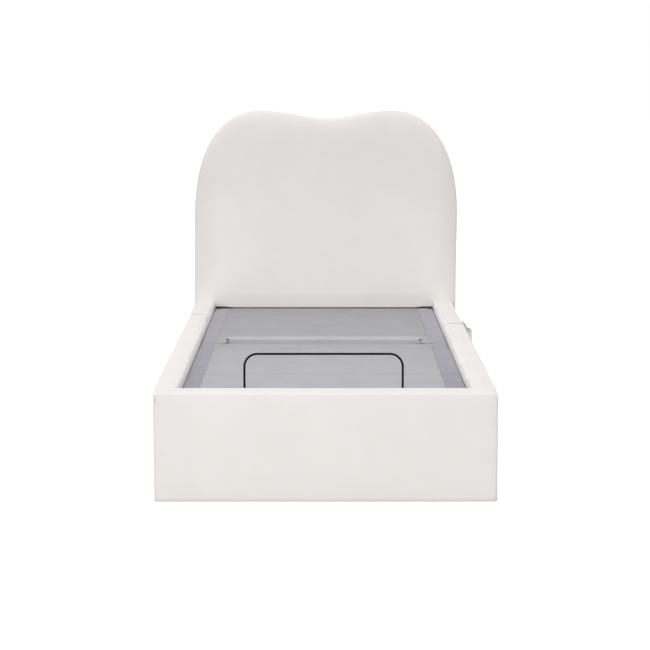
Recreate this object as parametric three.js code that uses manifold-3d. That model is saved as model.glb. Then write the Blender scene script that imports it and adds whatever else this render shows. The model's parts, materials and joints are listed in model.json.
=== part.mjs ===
// A powered adjustable bed base standing inside an upholstered surround with a wave-topped headboard.
// Millimetres. +X is to the right as seen from the foot end, +Y points to the headboard, +Z is up.
// The origin is on the floor under the middle of the bed's outline.
import * as THREE from 'three';
import { mergeVertices } from 'three/addons/utils/BufferGeometryUtils.js';
import Module from 'manifold-3d';

const wasm = await Module();
wasm.setup();

// The mattress deck: pads on plywood boards, cut in four sections. It sets the size of the rest.
const deckWidth = 982;
const deckHeight = 332;
const headLength = 848;
const seatLength = 161;
const thighLength = 566;
const calfLength = 455;
const deckSideGap = 10;
const deckEndGap = 12;
const padThickness = 27;
const padEdgeRadius = 7;
const boardThickness = 15;
const boardInset = 10;
const boardCornerRadius = 30;
const padCornerRadius = 42;
const boardGap = 11;
const headPadSetback = 4;
const headPadLean = 4;
const seatPadSetback = 12;
const seatSlopeLength = 40;
const seatThighLean = 7;
const thighPadLean = 6;
const kneePadSetback = 1.5;

// The surround: two side rails between a footboard and a headboard.
const surroundHeight = 370;
const railThickness = 74;
const footboardThickness = 68;
const surroundEdgeRadius = 13;
const surroundCornerExtra = 3;
const paddingThickness = 14;
const topPaddingThickness = 17;
const hemLift = 2;

// The headboard. Its top edge rises from straight sides over two humps to a dip in the middle.
const headboardOverhang = 25;
const headboardHeight = 1231;
const headboardPadThickness = 72;
const headboardSideHeight = 750;
const humpSpacing = 604;
const dipDepth = 34;
const shoulderRise = 266;
const shoulderRun = 206;
const humpInnerRun = 118;
const dipRun = 99;
const headboardEdgeRoll = 46;
const headboardEdgeDepth = 30;
const coreThickness = 18;
const coreInset = 12;
const backClothThickness = 2.5;
const backClothInset = 6;

// The folding frame under the boards, and its pivots.
const pivotBelowBoardTop = 10;
const barWidth = 25;
const barHeight = 24.7;
const tubeWall = 2;
const tubeCornerRadius = 2.5;
const lugThickness = 6;
const lugRadius = 9;
const pivotPinRadius = 5;
const pivotClearance = 0.4;
const seatBarSetback = 14;
const kneeBarSetback = 22;
const lugNeckLength = 46;
const crossBarSetback = 33;
const boardToBarEnd = 10;

// The base frame that stands on the floor.
const sideTubeSetback = 61;
const sideTubeWidth = 30;
const baseTubeHeight = 40;
const headPlateWidth = 70;
const headPlateThickness = 5;
const footTubeInset = 15;
const headTubeSetback = 60;
const seatFlangeWidth = 24;
const seatFlangeThickness = 5;
const legTubeRadius = 20;
const legFlangeRadius = 30;
const legFlangeThickness = 4;
const legFootRadius = 26;
const legFootHeight = 26;
const legFootRounding = 7;
const footLegInset = 92;
const headLegSetback = 120;

// The links that keep the calf section level while the knee rises.
const linkOffsetAlong = 300;
const linkDrop = 88;
const linkThickness = 6;
const linkHalfWidth = 11;
const linkEyeRadius = 13;
const linkPlateHalfWidth = 18;
const linkFlangeThickness = 5;

// The two screw actuators, each pinned to a cross tube and to a lever under its section.
const actuatorOffset = 130;
const mountDrop = 118;
const headMountDistance = 411;
const footMountDistance = 389;
const headLeverRadius = 110;
const headLeverShare = 9.5 / 180;
const footLeverRadius = 120;
const footLeverShare = 20 / 180;
const headTravelShare = 60 / 180;
const thighTravelShare = 35 / 180;
const actuatorPinRadius = 6;
const actuatorPinClearance = 0.5;
const eyeThickness = 12;
const eyeWall = 8;
const cheekThickness = 6;
const cheekGap = 0.5;
const slotClearance = 1;
const gearboxStart = 34;
const gearboxLength = 92;
const gearboxWidth = 76;
const gearboxHeight = 78;
const gearboxRounding = 10;
const motorRadius = 31;
const motorLength = 96;
const motorCapHeight = 8;
const outerTubeRadius = 20;
const outerTubeEnd = 328;
const outerTubeCollar = 3;
const outerTubeCollarLength = 14;
const rodRadius = 12;
const rodClearance = 0.35;
const rodHiddenStart = 142;
const rodEndClearance = 13;
const rodNeckOverlap = 9;

// The bar that keeps the mattress from sliding off the foot end.
const retainerRodRadius = 4;
const retainerSpacing = 537;
const retainerMiddle = -7;
const retainerHeight = 147;
const retainerCornerRadius = 44;
const retainerFootLength = 52;
const retainerInset = 45;
const retainerHoleClearance = 0.8;
const retainerCollarRadius = 11;
const retainerCollarHeight = 6;

// The control box under the frame.
const controlBoxWidth = 170;
const controlBoxDepth = 84;
const controlBoxHeight = 46;
const controlBoxRounding = 7;
const controlBoxOffset = 110;
const socketRadius = 8;
const socketDepth = 9;
const socketSpacing = 26;
const inletWidth = 27;
const inletHeight = 20;

// The steel angles that join the rails to the headboard and footboard.
const angleLeg = 60;
const angleHeight = 120;
const angleThickness = 5;
const angleLift = 50;
const gussetThickness = 5;

// The side pocket and the wireless handset in it.
const pocketLength = 330;
const pocketHeight = 186;
const pocketWall = 2;
const pocketFlare = 3;
const handsetEase = 0.4;
const pocketFromFoot = 1370;
const pocketBelowTop = 6;
const pocketCornerRadius = 22;
const handsetLength = 150;
const handsetWidth = 50;
const handsetThickness = 16;
const handsetRounding = 3;
const handsetCornerRadius = 12;
const handsetShift = 62;
const buttonRadius = 7.5;
const buttonProud = 1.2;
const buttonDepth = 3.6;
const buttonClearance = 0.4;
const buttonColumnSpacing = 22;
const buttonRowSpacing = 24;
const buttonTopInset = 30;

// Running gaps and cutting helps.
const fitGap = 0.3;
const overrun = 4;

// Counts of facets, not lengths.
const ROUND_SIDES = 20;
const PIN_SIDES = 16;
const CORNER_STEPS = 3;
const TUBE_CORNER_STEPS = 2;
const ROLL_STEPS = 5;
const OUTLINE_STEPS = 14;
const BEND_STEPS = 6;
const ROD_SIDES = 6;

// Derived levels and stations.
const wellHalf = deckWidth / 2 + deckSideGap;
const surroundWidth = 2 * (wellHalf + railThickness);
const headboardWidth = surroundWidth + 2 * headboardOverhang;
const wellLength = headLength + seatLength + thighLength + calfLength + 2 * deckEndGap;
const headboardDepth = headboardPadThickness + coreThickness + backClothThickness + 2 * fitGap;
const overallLength = footboardThickness + wellLength + headboardDepth;
const footFace = -overallLength / 2;
const headboardFace = footFace + footboardThickness + wellLength;
const surroundCornerRadius = surroundEdgeRadius + surroundCornerExtra;
const boardTop = deckHeight - padThickness;
const pivotHeight = boardTop - pivotBelowBoardTop;
const deckHead = headboardFace - deckEndGap;
const headPivot = deckHead - headLength;
const thighPivot = headPivot - seatLength;
const kneePivot = thighPivot - thighLength;
const deckFoot = kneePivot - calfLength;
const boardUnderside = boardTop - boardThickness;
const barTop = boardUnderside - fitGap;
const barBottom = barTop - barHeight;
const tubeTop = barBottom - fitGap;
const tubeBottom = tubeTop - baseTubeHeight;
const tubeOuter = deckWidth / 2 - sideTubeSetback;
const tubeInner = tubeOuter - sideTubeWidth;
const tubeMiddle = (tubeInner + tubeOuter) / 2;
const fixedPlateInner = tubeInner - lugThickness;
const barOuter = fixedPlateInner - fitGap;
const barInner = barOuter - barWidth;
const lugInner = barOuter - lugThickness;
const headLeverAngle = headLeverShare * Math.PI;
const footLeverAngle = footLeverShare * Math.PI;

const materials = {
  upholstery: { color: 0xe6e2dc, roughness: 0.92, metalness: 0 },
  timber: { color: 0xb99a6b, roughness: 0.75, metalness: 0 },
  backCloth: { color: 0x2a2a2c, roughness: 0.95, metalness: 0 },
  deckCloth: { color: 0x9a99a0, roughness: 0.9, metalness: 0 },
  steel: { color: 0x2b2c2f, roughness: 0.5, metalness: 0.8 },
  bareSteel: { color: 0xb8babd, roughness: 0.3, metalness: 1 },
  blackPlastic: { color: 0x1b1c1e, roughness: 0.55, metalness: 0 },
  greyPlastic: { color: 0x55585c, roughness: 0.5, metalness: 0 },
};

// Turns a closed three.js geometry into a solid that can be joined and cut.
function solidOf(geometry) {
  const bare = geometry.clone();
  bare.deleteAttribute('normal');
  bare.deleteAttribute('uv');
  const merged = mergeVertices(bare);
  const vertProperties = Float32Array.from(merged.attributes.position.array);
  const triVerts = Uint32Array.from(merged.index.array);
  return new wasm.Manifold(new wasm.Mesh({ numProp: 3, vertProperties, triVerts }));
}

// Gives a solid back as a geometry for a mesh.
function geometryOf(solid) {
  const { vertProperties, triVerts } = solid.getMesh();
  const geometry = new THREE.BufferGeometry();
  geometry.setAttribute('position', new THREE.BufferAttribute(vertProperties, 3));
  geometry.setIndex(new THREE.BufferAttribute(triVerts, 1));
  geometry.computeVertexNormals();
  return geometry;
}

const join = (...solids) => solids.reduce((whole, piece) => whole.add(piece));

function block([x0, x1], [y0, y1], [z0, z1]) {
  const geometry = new THREE.BoxGeometry(x1 - x0, y1 - y0, z1 - z0);
  return solidOf(geometry.translate((x0 + x1) / 2, (y0 + y1) / 2, (z0 + z1) / 2));
}

function rodAlongX(radius, [x0, x1], y, z, sides = PIN_SIDES) {
  const geometry = new THREE.CylinderGeometry(radius, radius, x1 - x0, sides).rotateZ(Math.PI / 2);
  return solidOf(geometry.translate((x0 + x1) / 2, y, z));
}

function rodAlongY(radius, [y0, y1], x, z, sides = ROUND_SIDES) {
  const geometry = new THREE.CylinderGeometry(radius, radius, y1 - y0, sides);
  return solidOf(geometry.translate(x, (y0 + y1) / 2, z));
}

function rodAlongZ(radius, [z0, z1], x, y, sides = ROUND_SIDES) {
  const geometry = new THREE.CylinderGeometry(radius, radius, z1 - z0, sides).rotateX(Math.PI / 2);
  return solidOf(geometry.translate(x, y, (z0 + z1) / 2));
}

// Extrudes a drawing in (y, z) along X.
function extrudeAlongX(shape, [x0, x1]) {
  const options = { depth: x1 - x0, bevelEnabled: false, curveSegments: TUBE_CORNER_STEPS };
  const geometry = new THREE.ExtrudeGeometry(shape, options);
  const turn = new THREE.Matrix4().set(0, 0, 1, x0, 1, 0, 0, 0, 0, 1, 0, 0, 0, 0, 0, 1);
  return solidOf(geometry.applyMatrix4(turn));
}

// Extrudes a drawing in (x, z) along Y, with its ends rolled over when a roll is given.
function extrudeAlongY(shape, [y0, y1], roll = null) {
  const thick = roll ? roll.depth : 0;
  const options = {
    depth: y1 - y0 - 2 * thick,
    bevelEnabled: thick > 0,
    bevelThickness: thick,
    bevelSize: roll ? roll.size : 0,
    bevelOffset: roll ? -roll.size : 0,
    bevelSegments: roll ? roll.layers : 0,
    curveSegments: roll ? roll.steps : TUBE_CORNER_STEPS,
  };
  const geometry = new THREE.ExtrudeGeometry(shape, options).rotateX(Math.PI / 2);
  return solidOf(geometry.translate(0, y1 - thick, 0));
}

// Extrudes a drawing in (x, y) up Z, with its top and bottom edges rounded when a radius is given.
function extrudeUp(shape, [z0, z1], radius = 0, steps = CORNER_STEPS) {
  const options = {
    depth: z1 - z0 - 2 * radius,
    bevelEnabled: radius > 0,
    bevelThickness: radius,
    bevelSize: radius,
    bevelOffset: -radius,
    bevelSegments: CORNER_STEPS,
    curveSegments: steps,
  };
  return solidOf(new THREE.ExtrudeGeometry(shape, options).translate(0, 0, z0 + radius));
}

// A rectangle whose corners are rounded; each corner can have its own radius, from the low-low
// corner counter-clockwise.
function roundedRectangle([a0, a1], [b0, b1], radii) {
  const [r0, r1, r2, r3] = Array.isArray(radii) ? radii : [radii, radii, radii, radii];
  const shape = new THREE.Shape();
  shape.moveTo(a0 + r0, b0);
  shape.lineTo(a1 - r1, b0);
  if (r1 > 0) shape.absarc(a1 - r1, b0 + r1, r1, -Math.PI / 2, 0, false);
  shape.lineTo(a1, b1 - r2);
  if (r2 > 0) shape.absarc(a1 - r2, b1 - r2, r2, 0, Math.PI / 2, false);
  shape.lineTo(a0 + r3, b1);
  if (r3 > 0) shape.absarc(a0 + r3, b1 - r3, r3, Math.PI / 2, Math.PI, false);
  shape.lineTo(a0, b0 + r0);
  if (r0 > 0) shape.absarc(a0 + r0, b0 + r0, r0, Math.PI, 1.5 * Math.PI, false);
  return shape;
}

function polygon(points) {
  const shape = new THREE.Shape();
  shape.moveTo(...points[0]);
  for (const point of points.slice(1)) shape.lineTo(...point);
  return shape;
}

const bed = new THREE.Group();

// Adds one named piece to a group.
function addPiece(group, name, solid, finish) {
  const mesh = new THREE.Mesh(geometryOf(solid), new THREE.MeshStandardMaterial(materials[finish]));
  mesh.name = name;
  group.add(mesh);
}

function placedGroup(x, y, z, parent = bed) {
  const group = new THREE.Group();
  group.position.set(x, y, z);
  parent.add(group);
  return group;
}

// Surround

// The headboard's outline in (x, z), drawn in by an inset on every side but the bottom.
function headboardOutline(inset, bottom) {
  const half = headboardWidth / 2 - inset;
  const top = headboardHeight - inset;
  const hump = humpSpacing / 2;
  const shape = new THREE.Shape();
  shape.moveTo(-half, bottom);
  shape.lineTo(half, bottom);
  shape.lineTo(half, headboardSideHeight);
  shape.bezierCurveTo(half, headboardSideHeight + shoulderRise, hump + shoulderRun, top, hump, top);
  shape.bezierCurveTo(hump - humpInnerRun, top, dipRun, top - dipDepth, 0, top - dipDepth);
  shape.bezierCurveTo(-dipRun, top - dipDepth, -hump + humpInnerRun, top, -hump, top);
  shape.bezierCurveTo(-hump - shoulderRun, top, -half, headboardSideHeight + shoulderRise, -half,
    headboardSideHeight);
  return shape;
}

const coreFront = headboardFace + headboardPadThickness + fitGap;
const coreBack = coreFront + coreThickness;
const headboardRear = -footFace;

// A plain extrusion of the outline that follows its curves as finely as the rolled one does.
const outlineOnly = { size: 0, depth: 0, steps: OUTLINE_STEPS, layers: 0 };

// The cushion covers the core's face and laps round its edges to the back.
function headboardCushion() {
  const roll = {
    size: headboardEdgeRoll,
    depth: headboardEdgeDepth,
    steps: OUTLINE_STEPS,
    layers: ROLL_STEPS,
  };
  const rearRoll = headboardRear + headboardEdgeDepth + overrun;
  const outline = headboardOutline(0, -headboardEdgeRoll);
  const whole = extrudeAlongY(outline, [headboardFace, rearRoll], roll);
  const width = [-headboardWidth, headboardWidth];
  const tall = [-headboardHeight, 2 * headboardHeight];
  const behind = block(width, [headboardRear, rearRoll + overrun], tall);
  const below = block(width, [headboardFace - overrun, rearRoll + overrun], [-headboardHeight, hemLift]);
  const recess = headboardOutline(coreInset - fitGap, -headboardEdgeRoll);
  const seat = extrudeAlongY(recess, [headboardFace + headboardPadThickness, rearRoll], outlineOnly);
  return whole.subtract(behind).subtract(below).subtract(seat);
}

function buildHeadboard() {
  addPiece(bed, 'headboard_cushion', headboardCushion(), 'upholstery');
  const core = extrudeAlongY(headboardOutline(coreInset, 0), [coreFront, coreBack], outlineOnly);
  addPiece(bed, 'headboard_core', core, 'timber');
  const clothOutline = headboardOutline(coreInset + backClothInset, hemLift);
  const cloth = extrudeAlongY(clothOutline, [coreBack + fitGap, headboardRear], outlineOnly);
  addPiece(bed, 'headboard_back_cloth', cloth, 'backCloth');
}

// A padded cover pulled over a board: a slab with rounded top edges, open underneath for the board.
function paddedCover([x0, x1], [y0, y1], open, cornerRadii) {
  const outline = roundedRectangle([x0, x1], [y0, y1], cornerRadii);
  const below = hemLift - surroundEdgeRadius - overrun;
  const slab = extrudeUp(outline, [below, surroundHeight], surroundEdgeRadius);
  const around = [[x0 - overrun, x1 + overrun], [y0 - overrun, y1 + overrun]];
  const hem = block(...around, [below - overrun, hemLift]);
  const cavity = block(open.x, open.y, [below - overrun, surroundHeight - topPaddingThickness]);
  return slab.subtract(hem).subtract(cavity);
}

function buildRail(side, name) {
  const outer = surroundWidth / 2;
  const boardX = [wellHalf + paddingThickness, outer - paddingThickness];
  const y0 = footFace + footboardThickness + fitGap;
  const y1 = headboardFace - fitGap;
  const mirrored = ([a, b]) => (side > 0 ? [a, b] : [-b, -a]);
  const long = [y0 - surroundEdgeRadius - overrun, y1 + surroundEdgeRadius + overrun];
  const cover = paddedCover(mirrored([wellHalf, outer]), long, { x: mirrored(boardX), y: long }, 0);
  const across = [-surroundWidth, surroundWidth];
  const tall = [-surroundHeight, 2 * surroundHeight];
  const trimmed = cover
    .subtract(block(across, [long[0] - overrun, y0], tall))
    .subtract(block(across, [y1, long[1] + overrun], tall));
  addPiece(bed, `${name}_rail_cover`, trimmed, 'upholstery');
  const inside = mirrored([boardX[0] + fitGap, boardX[1] - fitGap]);
  const board = block(inside, [y0, y1], [0, surroundHeight - topPaddingThickness - fitGap]);
  addPiece(bed, `${name}_rail_board`, board, 'timber');
}

function buildFootboard() {
  const half = surroundWidth / 2;
  const x = [-half, half];
  const y = [footFace, footFace + footboardThickness];
  const openX = [-half + paddingThickness, half - paddingThickness];
  const openY = [y[0] + paddingThickness, y[1] - paddingThickness];
  const cover = paddedCover(x, y, { x: openX, y: openY }, surroundCornerRadius);
  addPiece(bed, 'footboard_cover', cover, 'upholstery');
  const inside = ([a, b]) => [a + fitGap, b - fitGap];
  const boardTall = [0, surroundHeight - topPaddingThickness - fitGap];
  addPiece(bed, 'footboard_board', block(inside(openX), inside(openY), boardTall), 'timber');
}

// A steel angle in one inside corner of the surround, with a gusset across it.
function cornerAngle(side, end) {
  const faceX = wellHalf - fitGap;
  const faceY = end > 0 ? headboardFace - fitGap : footFace + footboardThickness + fitGap;
  const z = [angleLift, angleLift + angleHeight];
  const along = end > 0 ? [faceY - angleLeg, faceY] : [faceY, faceY + angleLeg];
  const endPlate = end > 0 ? [faceY - angleThickness, faceY] : [faceY, faceY + angleThickness];
  const flip = ([a, b]) => (side > 0 ? [a, b] : [-b, -a]);
  const railPlate = block(flip([faceX - angleThickness, faceX]), along, z);
  const boardPlate = block(flip([faceX - angleLeg, faceX]), endPlate, z);
  const corner = [side * faceX, faceY];
  const gussetOutline = polygon([
    corner,
    [corner[0] - side * angleLeg, corner[1]],
    [corner[0], corner[1] - end * angleLeg],
  ]);
  const middle = angleLift + angleHeight / 2;
  const gusset = extrudeUp(gussetOutline, [middle - gussetThickness / 2, middle + gussetThickness / 2]);
  return join(railPlate, boardPlate, gusset);
}

function buildCornerAngles() {
  for (const [side, sideName] of [[-1, 'left'], [1, 'right']]) {
    for (const [end, endName] of [[-1, 'foot'], [1, 'head']]) {
      addPiece(bed, `corner_angle_${endName}_${sideName}`, cornerAngle(side, end), 'steel');
    }
  }
}

// Base frame

// A rectangular tube with a wall, drawn in its own two cross directions and open at both ends.
function tubeSection([a0, a1], [b0, b1]) {
  const outline = roundedRectangle([a0, a1], [b0, b1], tubeCornerRadius);
  const bore = roundedRectangle([a0 + tubeWall, a1 - tubeWall], [b0 + tubeWall, b1 - tubeWall], 0);
  outline.holes.push(bore);
  return outline;
}

const crossTubeSpan = [-tubeInner + fitGap, tubeInner - fitGap];
const headMount = headPivot - headMountDistance;
const footMount = thighPivot + footMountDistance;
const mountHeight = pivotHeight - mountDrop;
const linkPivot = thighPivot - linkOffsetAlong;
const linkHeight = pivotHeight - linkDrop;

function crossTube(middle) {
  const half = baseTubeHeight / 2;
  return extrudeAlongX(tubeSection([middle - half, middle + half], [tubeBottom, tubeTop]), crossTubeSpan);
}

// A cross tube with two cheeks and a pin that an actuator's rear eye turns on.
function motorTube(middle, offset) {
  const cheekRadius = actuatorPinRadius + eyeWall;
  const inner = eyeThickness / 2 + cheekGap;
  const outer = inner + cheekThickness;
  const cheekOutline = polygon([
    [middle - cheekRadius, mountHeight],
    [middle + cheekRadius, mountHeight],
    [middle + baseTubeHeight / 2, tubeBottom + tubeWall / 2],
    [middle - baseTubeHeight / 2, tubeBottom + tubeWall / 2],
  ]);
  const cheeks = [[-outer, -inner], [inner, outer]].map(([x0, x1]) => {
    const span = [offset + x0, offset + x1];
    return extrudeAlongX(cheekOutline, span).add(rodAlongX(cheekRadius, span, middle, mountHeight));
  });
  const pin = rodAlongX(actuatorPinRadius, [offset - outer, offset + outer], middle, mountHeight);
  return join(crossTube(middle), ...cheeks, pin);
}

// One long side tube with all that is welded to it: the seat's hinge plate and flange, the link
// plate, their pins, and the plate at the head end that bolts to the headboard.
function baseSideTube(side) {
  const flip = ([a, b]) => (side > 0 ? [a, b] : [-b, -a]);
  const y0 = deckFoot - fitGap;
  const y1 = headboardFace - fitGap;
  const tube = extrudeAlongY(tubeSection(flip([tubeInner, tubeOuter]), [tubeBottom, tubeTop]), [y0, y1]);
  const plateX = flip([fixedPlateInner, tubeInner + tubeWall / 2]);
  const pinX = flip([lugInner - fitGap, tubeInner]);
  const plate = extrudeAlongX(polygon([
    [thighPivot - lugRadius, pivotHeight],
    [thighPivot - lugRadius, tubeBottom + baseTubeHeight / 2],
    [headPivot + lugRadius, tubeBottom + baseTubeHeight / 2],
    [headPivot + lugRadius, pivotHeight],
    [headPivot - lugRadius, pivotHeight],
    [headPivot - lugRadius, barTop],
    [thighPivot + lugRadius, barTop],
    [thighPivot + lugRadius, pivotHeight],
  ]), plateX);
  const seatEnds = [thighPivot + seatBarSetback + lugRadius, headPivot - seatBarSetback - lugRadius];
  const flangeX = flip([tubeInner - seatFlangeWidth, tubeInner]);
  const flange = block(flangeX, seatEnds, [barTop - seatFlangeThickness, barTop]);
  const ears = [headPivot, thighPivot].map((y) => rodAlongX(lugRadius, plateX, y, pivotHeight));
  const pins = [headPivot, thighPivot].map((y) => rodAlongX(pivotPinRadius, pinX, y, pivotHeight));
  const linkFlangeZ = [tubeBottom - linkFlangeThickness, tubeBottom + tubeWall / 2];
  const linkPlate = extrudeAlongX(polygon([
    [linkPivot - linkEyeRadius, linkHeight],
    [linkPivot + linkEyeRadius, linkHeight],
    [linkPivot + linkPlateHalfWidth, linkFlangeZ[0]],
    [linkPivot + linkPlateHalfWidth, tubeBottom - fitGap],
    [linkPivot - linkPlateHalfWidth, tubeBottom - fitGap],
    [linkPivot - linkPlateHalfWidth, linkFlangeZ[0]],
  ]), plateX);
  const linkAlong = [linkPivot - linkPlateHalfWidth, linkPivot + linkPlateHalfWidth];
  const flangeEnd = tubeOuter - tubeCornerRadius;
  const linkFlange = join(
    block(flip([fixedPlateInner, flangeEnd]), linkAlong, [linkFlangeZ[0], tubeBottom - fitGap]),
    block(flip([tubeInner + tubeCornerRadius, flangeEnd]), linkAlong, linkFlangeZ),
  );
  const linkEye = rodAlongX(linkEyeRadius, plateX, linkPivot, linkHeight);
  const linkPin = rodAlongX(pivotPinRadius, pinX, linkPivot, linkHeight);
  const half = headPlateWidth / 2;
  const headPlate = block(
    flip([tubeMiddle - half, tubeMiddle + half]),
    [y1 - headPlateThickness, y1],
    [tubeTop - headPlateWidth, tubeTop],
  );
  const linkBracket = join(linkPlate, linkFlange, linkEye, linkPin);
  return join(tube, plate, flange, ...ears, ...pins, linkBracket, headPlate);
}

// A turned leg: flange, tube and moulded foot.
function legSolid() {
  const top = tubeBottom - fitGap;
  const profile = [
    [0, 0],
    [legFootRadius - legFootRounding, 0],
    [legFootRadius, legFootRounding],
    [legFootRadius, legFootHeight - legFootRounding],
    [legTubeRadius, legFootHeight],
    [legTubeRadius, top - legFlangeThickness],
    [legFlangeRadius, top - legFlangeThickness],
    [legFlangeRadius, top],
    [0, top],
  ].map(([r, z]) => new THREE.Vector2(r, z));
  return solidOf(new THREE.LatheGeometry(profile, ROUND_SIDES).rotateX(Math.PI / 2));
}

function buildLegs() {
  const stations = [
    ['foot', deckFoot + footLegInset],
    ['middle', thighPivot],
    ['head', headboardFace - headLegSetback],
  ];
  for (const [side, sideName] of [[-1, 'left'], [1, 'right']]) {
    for (const [endName, y] of stations) {
      const place = placedGroup(side * tubeMiddle, y, 0);
      addPiece(place, `leg_${endName}_${sideName}`, legSolid(), 'blackPlastic');
    }
  }
}

function controlBox() {
  const x = [-controlBoxOffset - controlBoxWidth, -controlBoxOffset];
  const y = [headMount - controlBoxDepth / 2, headMount + controlBoxDepth / 2];
  const top = tubeBottom - fitGap;
  const bottom = top - controlBoxHeight;
  const plan = roundedRectangle(x, y, controlBoxRounding);
  const shell = extrudeUp(plan, [bottom, top], controlBoxRounding / 2);
  const middleX = (x[0] + x[1]) / 2;
  const middleZ = (bottom + top) / 2;
  const face = [y[1] - socketDepth, y[1] + overrun];
  const sockets = [-1, 0, 1].map((step) => {
    const across = middleX + socketSpacing * (step - 1 / 2);
    return rodAlongY(socketRadius, face, across, middleZ, PIN_SIDES);
  });
  const inletX = [x[1] - controlBoxRounding - inletWidth, x[1] - controlBoxRounding];
  const inlet = block(inletX, face, [middleZ - inletHeight / 2, middleZ + inletHeight / 2]);
  return shell.subtract(join(...sockets, inlet));
}

function buildBase() {
  addPiece(bed, 'base_side_tube_left', baseSideTube(-1), 'steel');
  addPiece(bed, 'base_side_tube_right', baseSideTube(1), 'steel');
  const footTube = deckFoot + footTubeInset + baseTubeHeight / 2 - fitGap;
  addPiece(bed, 'base_cross_tube_foot', crossTube(footTube), 'steel');
  addPiece(bed, 'base_cross_tube_head', crossTube(deckHead - headTubeSetback), 'steel');
  addPiece(bed, 'head_motor_tube', motorTube(headMount, actuatorOffset), 'steel');
  addPiece(bed, 'foot_motor_tube', motorTube(footMount, -actuatorOffset), 'steel');
  addPiece(bed, 'control_box', controlBox(), 'blackPlastic');
  buildLegs();
}

// Deck sections. Each is drawn about the pivot it turns on, with z measured from the pivot.

const padLow = pivotBelowBoardTop + fitGap;
const padHigh = pivotBelowBoardTop + padThickness;
const boardLow = pivotBelowBoardTop - boardThickness;
const barHigh = barTop - pivotHeight;
const barLow = barBottom - pivotHeight;

// A pad: its plan with a rounded top edge, cut to its side profile in (y, z).
function deckPad(y, radii, profile) {
  const half = deckWidth / 2;
  const plan = roundedRectangle([-half, half], y, radii);
  const slab = extrudeUp(plan, [padLow - padEdgeRadius - overrun, padHigh], padEdgeRadius);
  return slab.intersect(extrudeAlongX(polygon(profile), [-deckWidth, deckWidth]));
}

function deckBoard(y, radii) {
  const half = deckWidth / 2 - boardInset;
  return extrudeUp(roundedRectangle([-half, half], y, radii), [boardLow, pivotBelowBoardTop]);
}

// A plate lug round a pivot at y = 0 that runs into a bar lying towards the given direction.
function barLug(direction, setback, x) {
  const d = direction;
  const underBoard = boardLow - fitGap;
  const outline = polygon([
    [-d * lugRadius, 0],
    [d * lugRadius, 0],
    [d * lugRadius, underBoard],
    [d * (setback + lugNeckLength), underBoard],
    [d * (setback + lugNeckLength), barLow],
    [d * setback / 2, barLow],
  ]);
  const turned = d > 0 ? outline : polygon(outline.getPoints().reverse());
  return extrudeAlongX(turned, x).add(rodAlongX(lugRadius, x, 0, 0));
}

const mirrorSpan = (side, [a, b]) => (side > 0 ? [a, b] : [-b, -a]);

function pinHole(x, y) {
  return rodAlongX(pivotPinRadius + pivotClearance, [x[0] - overrun, x[1] + overrun], y, 0);
}

// A side bar hinged to the seat's plate, running towards the given direction.
function hingedSideBar(side, direction, length) {
  const x = mirrorSpan(side, [barInner, barOuter]);
  const lugX = mirrorSpan(side, [lugInner, barOuter]);
  const start = direction * seatBarSetback;
  const end = direction * length;
  const y = direction > 0 ? [start, end] : [end, start];
  const bar = extrudeAlongY(tubeSection(x, [barLow, barHigh]), y);
  const lug = barLug(direction, seatBarSetback, lugX);
  return join(bar, lug).subtract(pinHole(lugX, 0));
}

// A cross bar between two side bars, with a pair of lever cheeks and the pin an actuator pushes.
function leverBar(direction, offset, radius, angle) {
  const d = direction;
  const near = d * crossBarSetback;
  const far = near + d * barWidth;
  const y = d > 0 ? [near, far] : [far, near];
  const bar = extrudeAlongX(tubeSection(y, [barLow, barHigh]), [-barInner + fitGap, barInner - fitGap]);
  const pinY = d * radius * Math.sin(angle);
  const pinZ = -radius * Math.cos(angle);
  const eye = actuatorPinRadius + eyeWall;
  const points = [
    [near, barLow + tubeWall / 2],
    [pinY - d * eye, pinZ],
    [pinY + d * eye, pinZ],
    [far, barLow + tubeWall / 2],
  ];
  const outline = polygon(d > 0 ? points : [...points].reverse());
  const inner = eyeThickness / 2 + cheekGap;
  const outer = inner + cheekThickness;
  const cheeks = [[-outer, -inner], [inner, outer]].map(([x0, x1]) => {
    const span = [offset + x0, offset + x1];
    return extrudeAlongX(outline, span).add(rodAlongX(eye, span, pinY, pinZ));
  });
  const pin = rodAlongX(actuatorPinRadius, [offset - outer, offset + outer], pinY, pinZ);
  return join(bar, ...cheeks, pin);
}

function buildHeadSection() {
  const group = placedGroup(0, headPivot, pivotHeight);
  const pad = deckPad([-padCornerRadius, headLength], [0, 0, padCornerRadius, padCornerRadius], [
    [headPadSetback, padLow],
    [headLength + overrun, padLow],
    [headLength + overrun, padHigh + overrun],
    [headPadSetback + headPadLean, padHigh + overrun],
    [headPadSetback + headPadLean, padHigh],
  ]);
  addPiece(group, 'head_pad', pad, 'deckCloth');
  const boardRadii = [0, 0, boardCornerRadius, boardCornerRadius];
  addPiece(group, 'head_board', deckBoard([boardGap, headLength - boardInset], boardRadii), 'timber');
  const barLength = headLength - boardInset - boardToBarEnd;
  addPiece(group, 'head_side_bar_left', hingedSideBar(-1, 1, barLength), 'steel');
  addPiece(group, 'head_side_bar_right', hingedSideBar(1, 1, barLength), 'steel');
  const lever = leverBar(1, actuatorOffset, headLeverRadius, headLeverAngle);
  addPiece(group, 'head_lever_bar', lever, 'steel');
}

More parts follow.
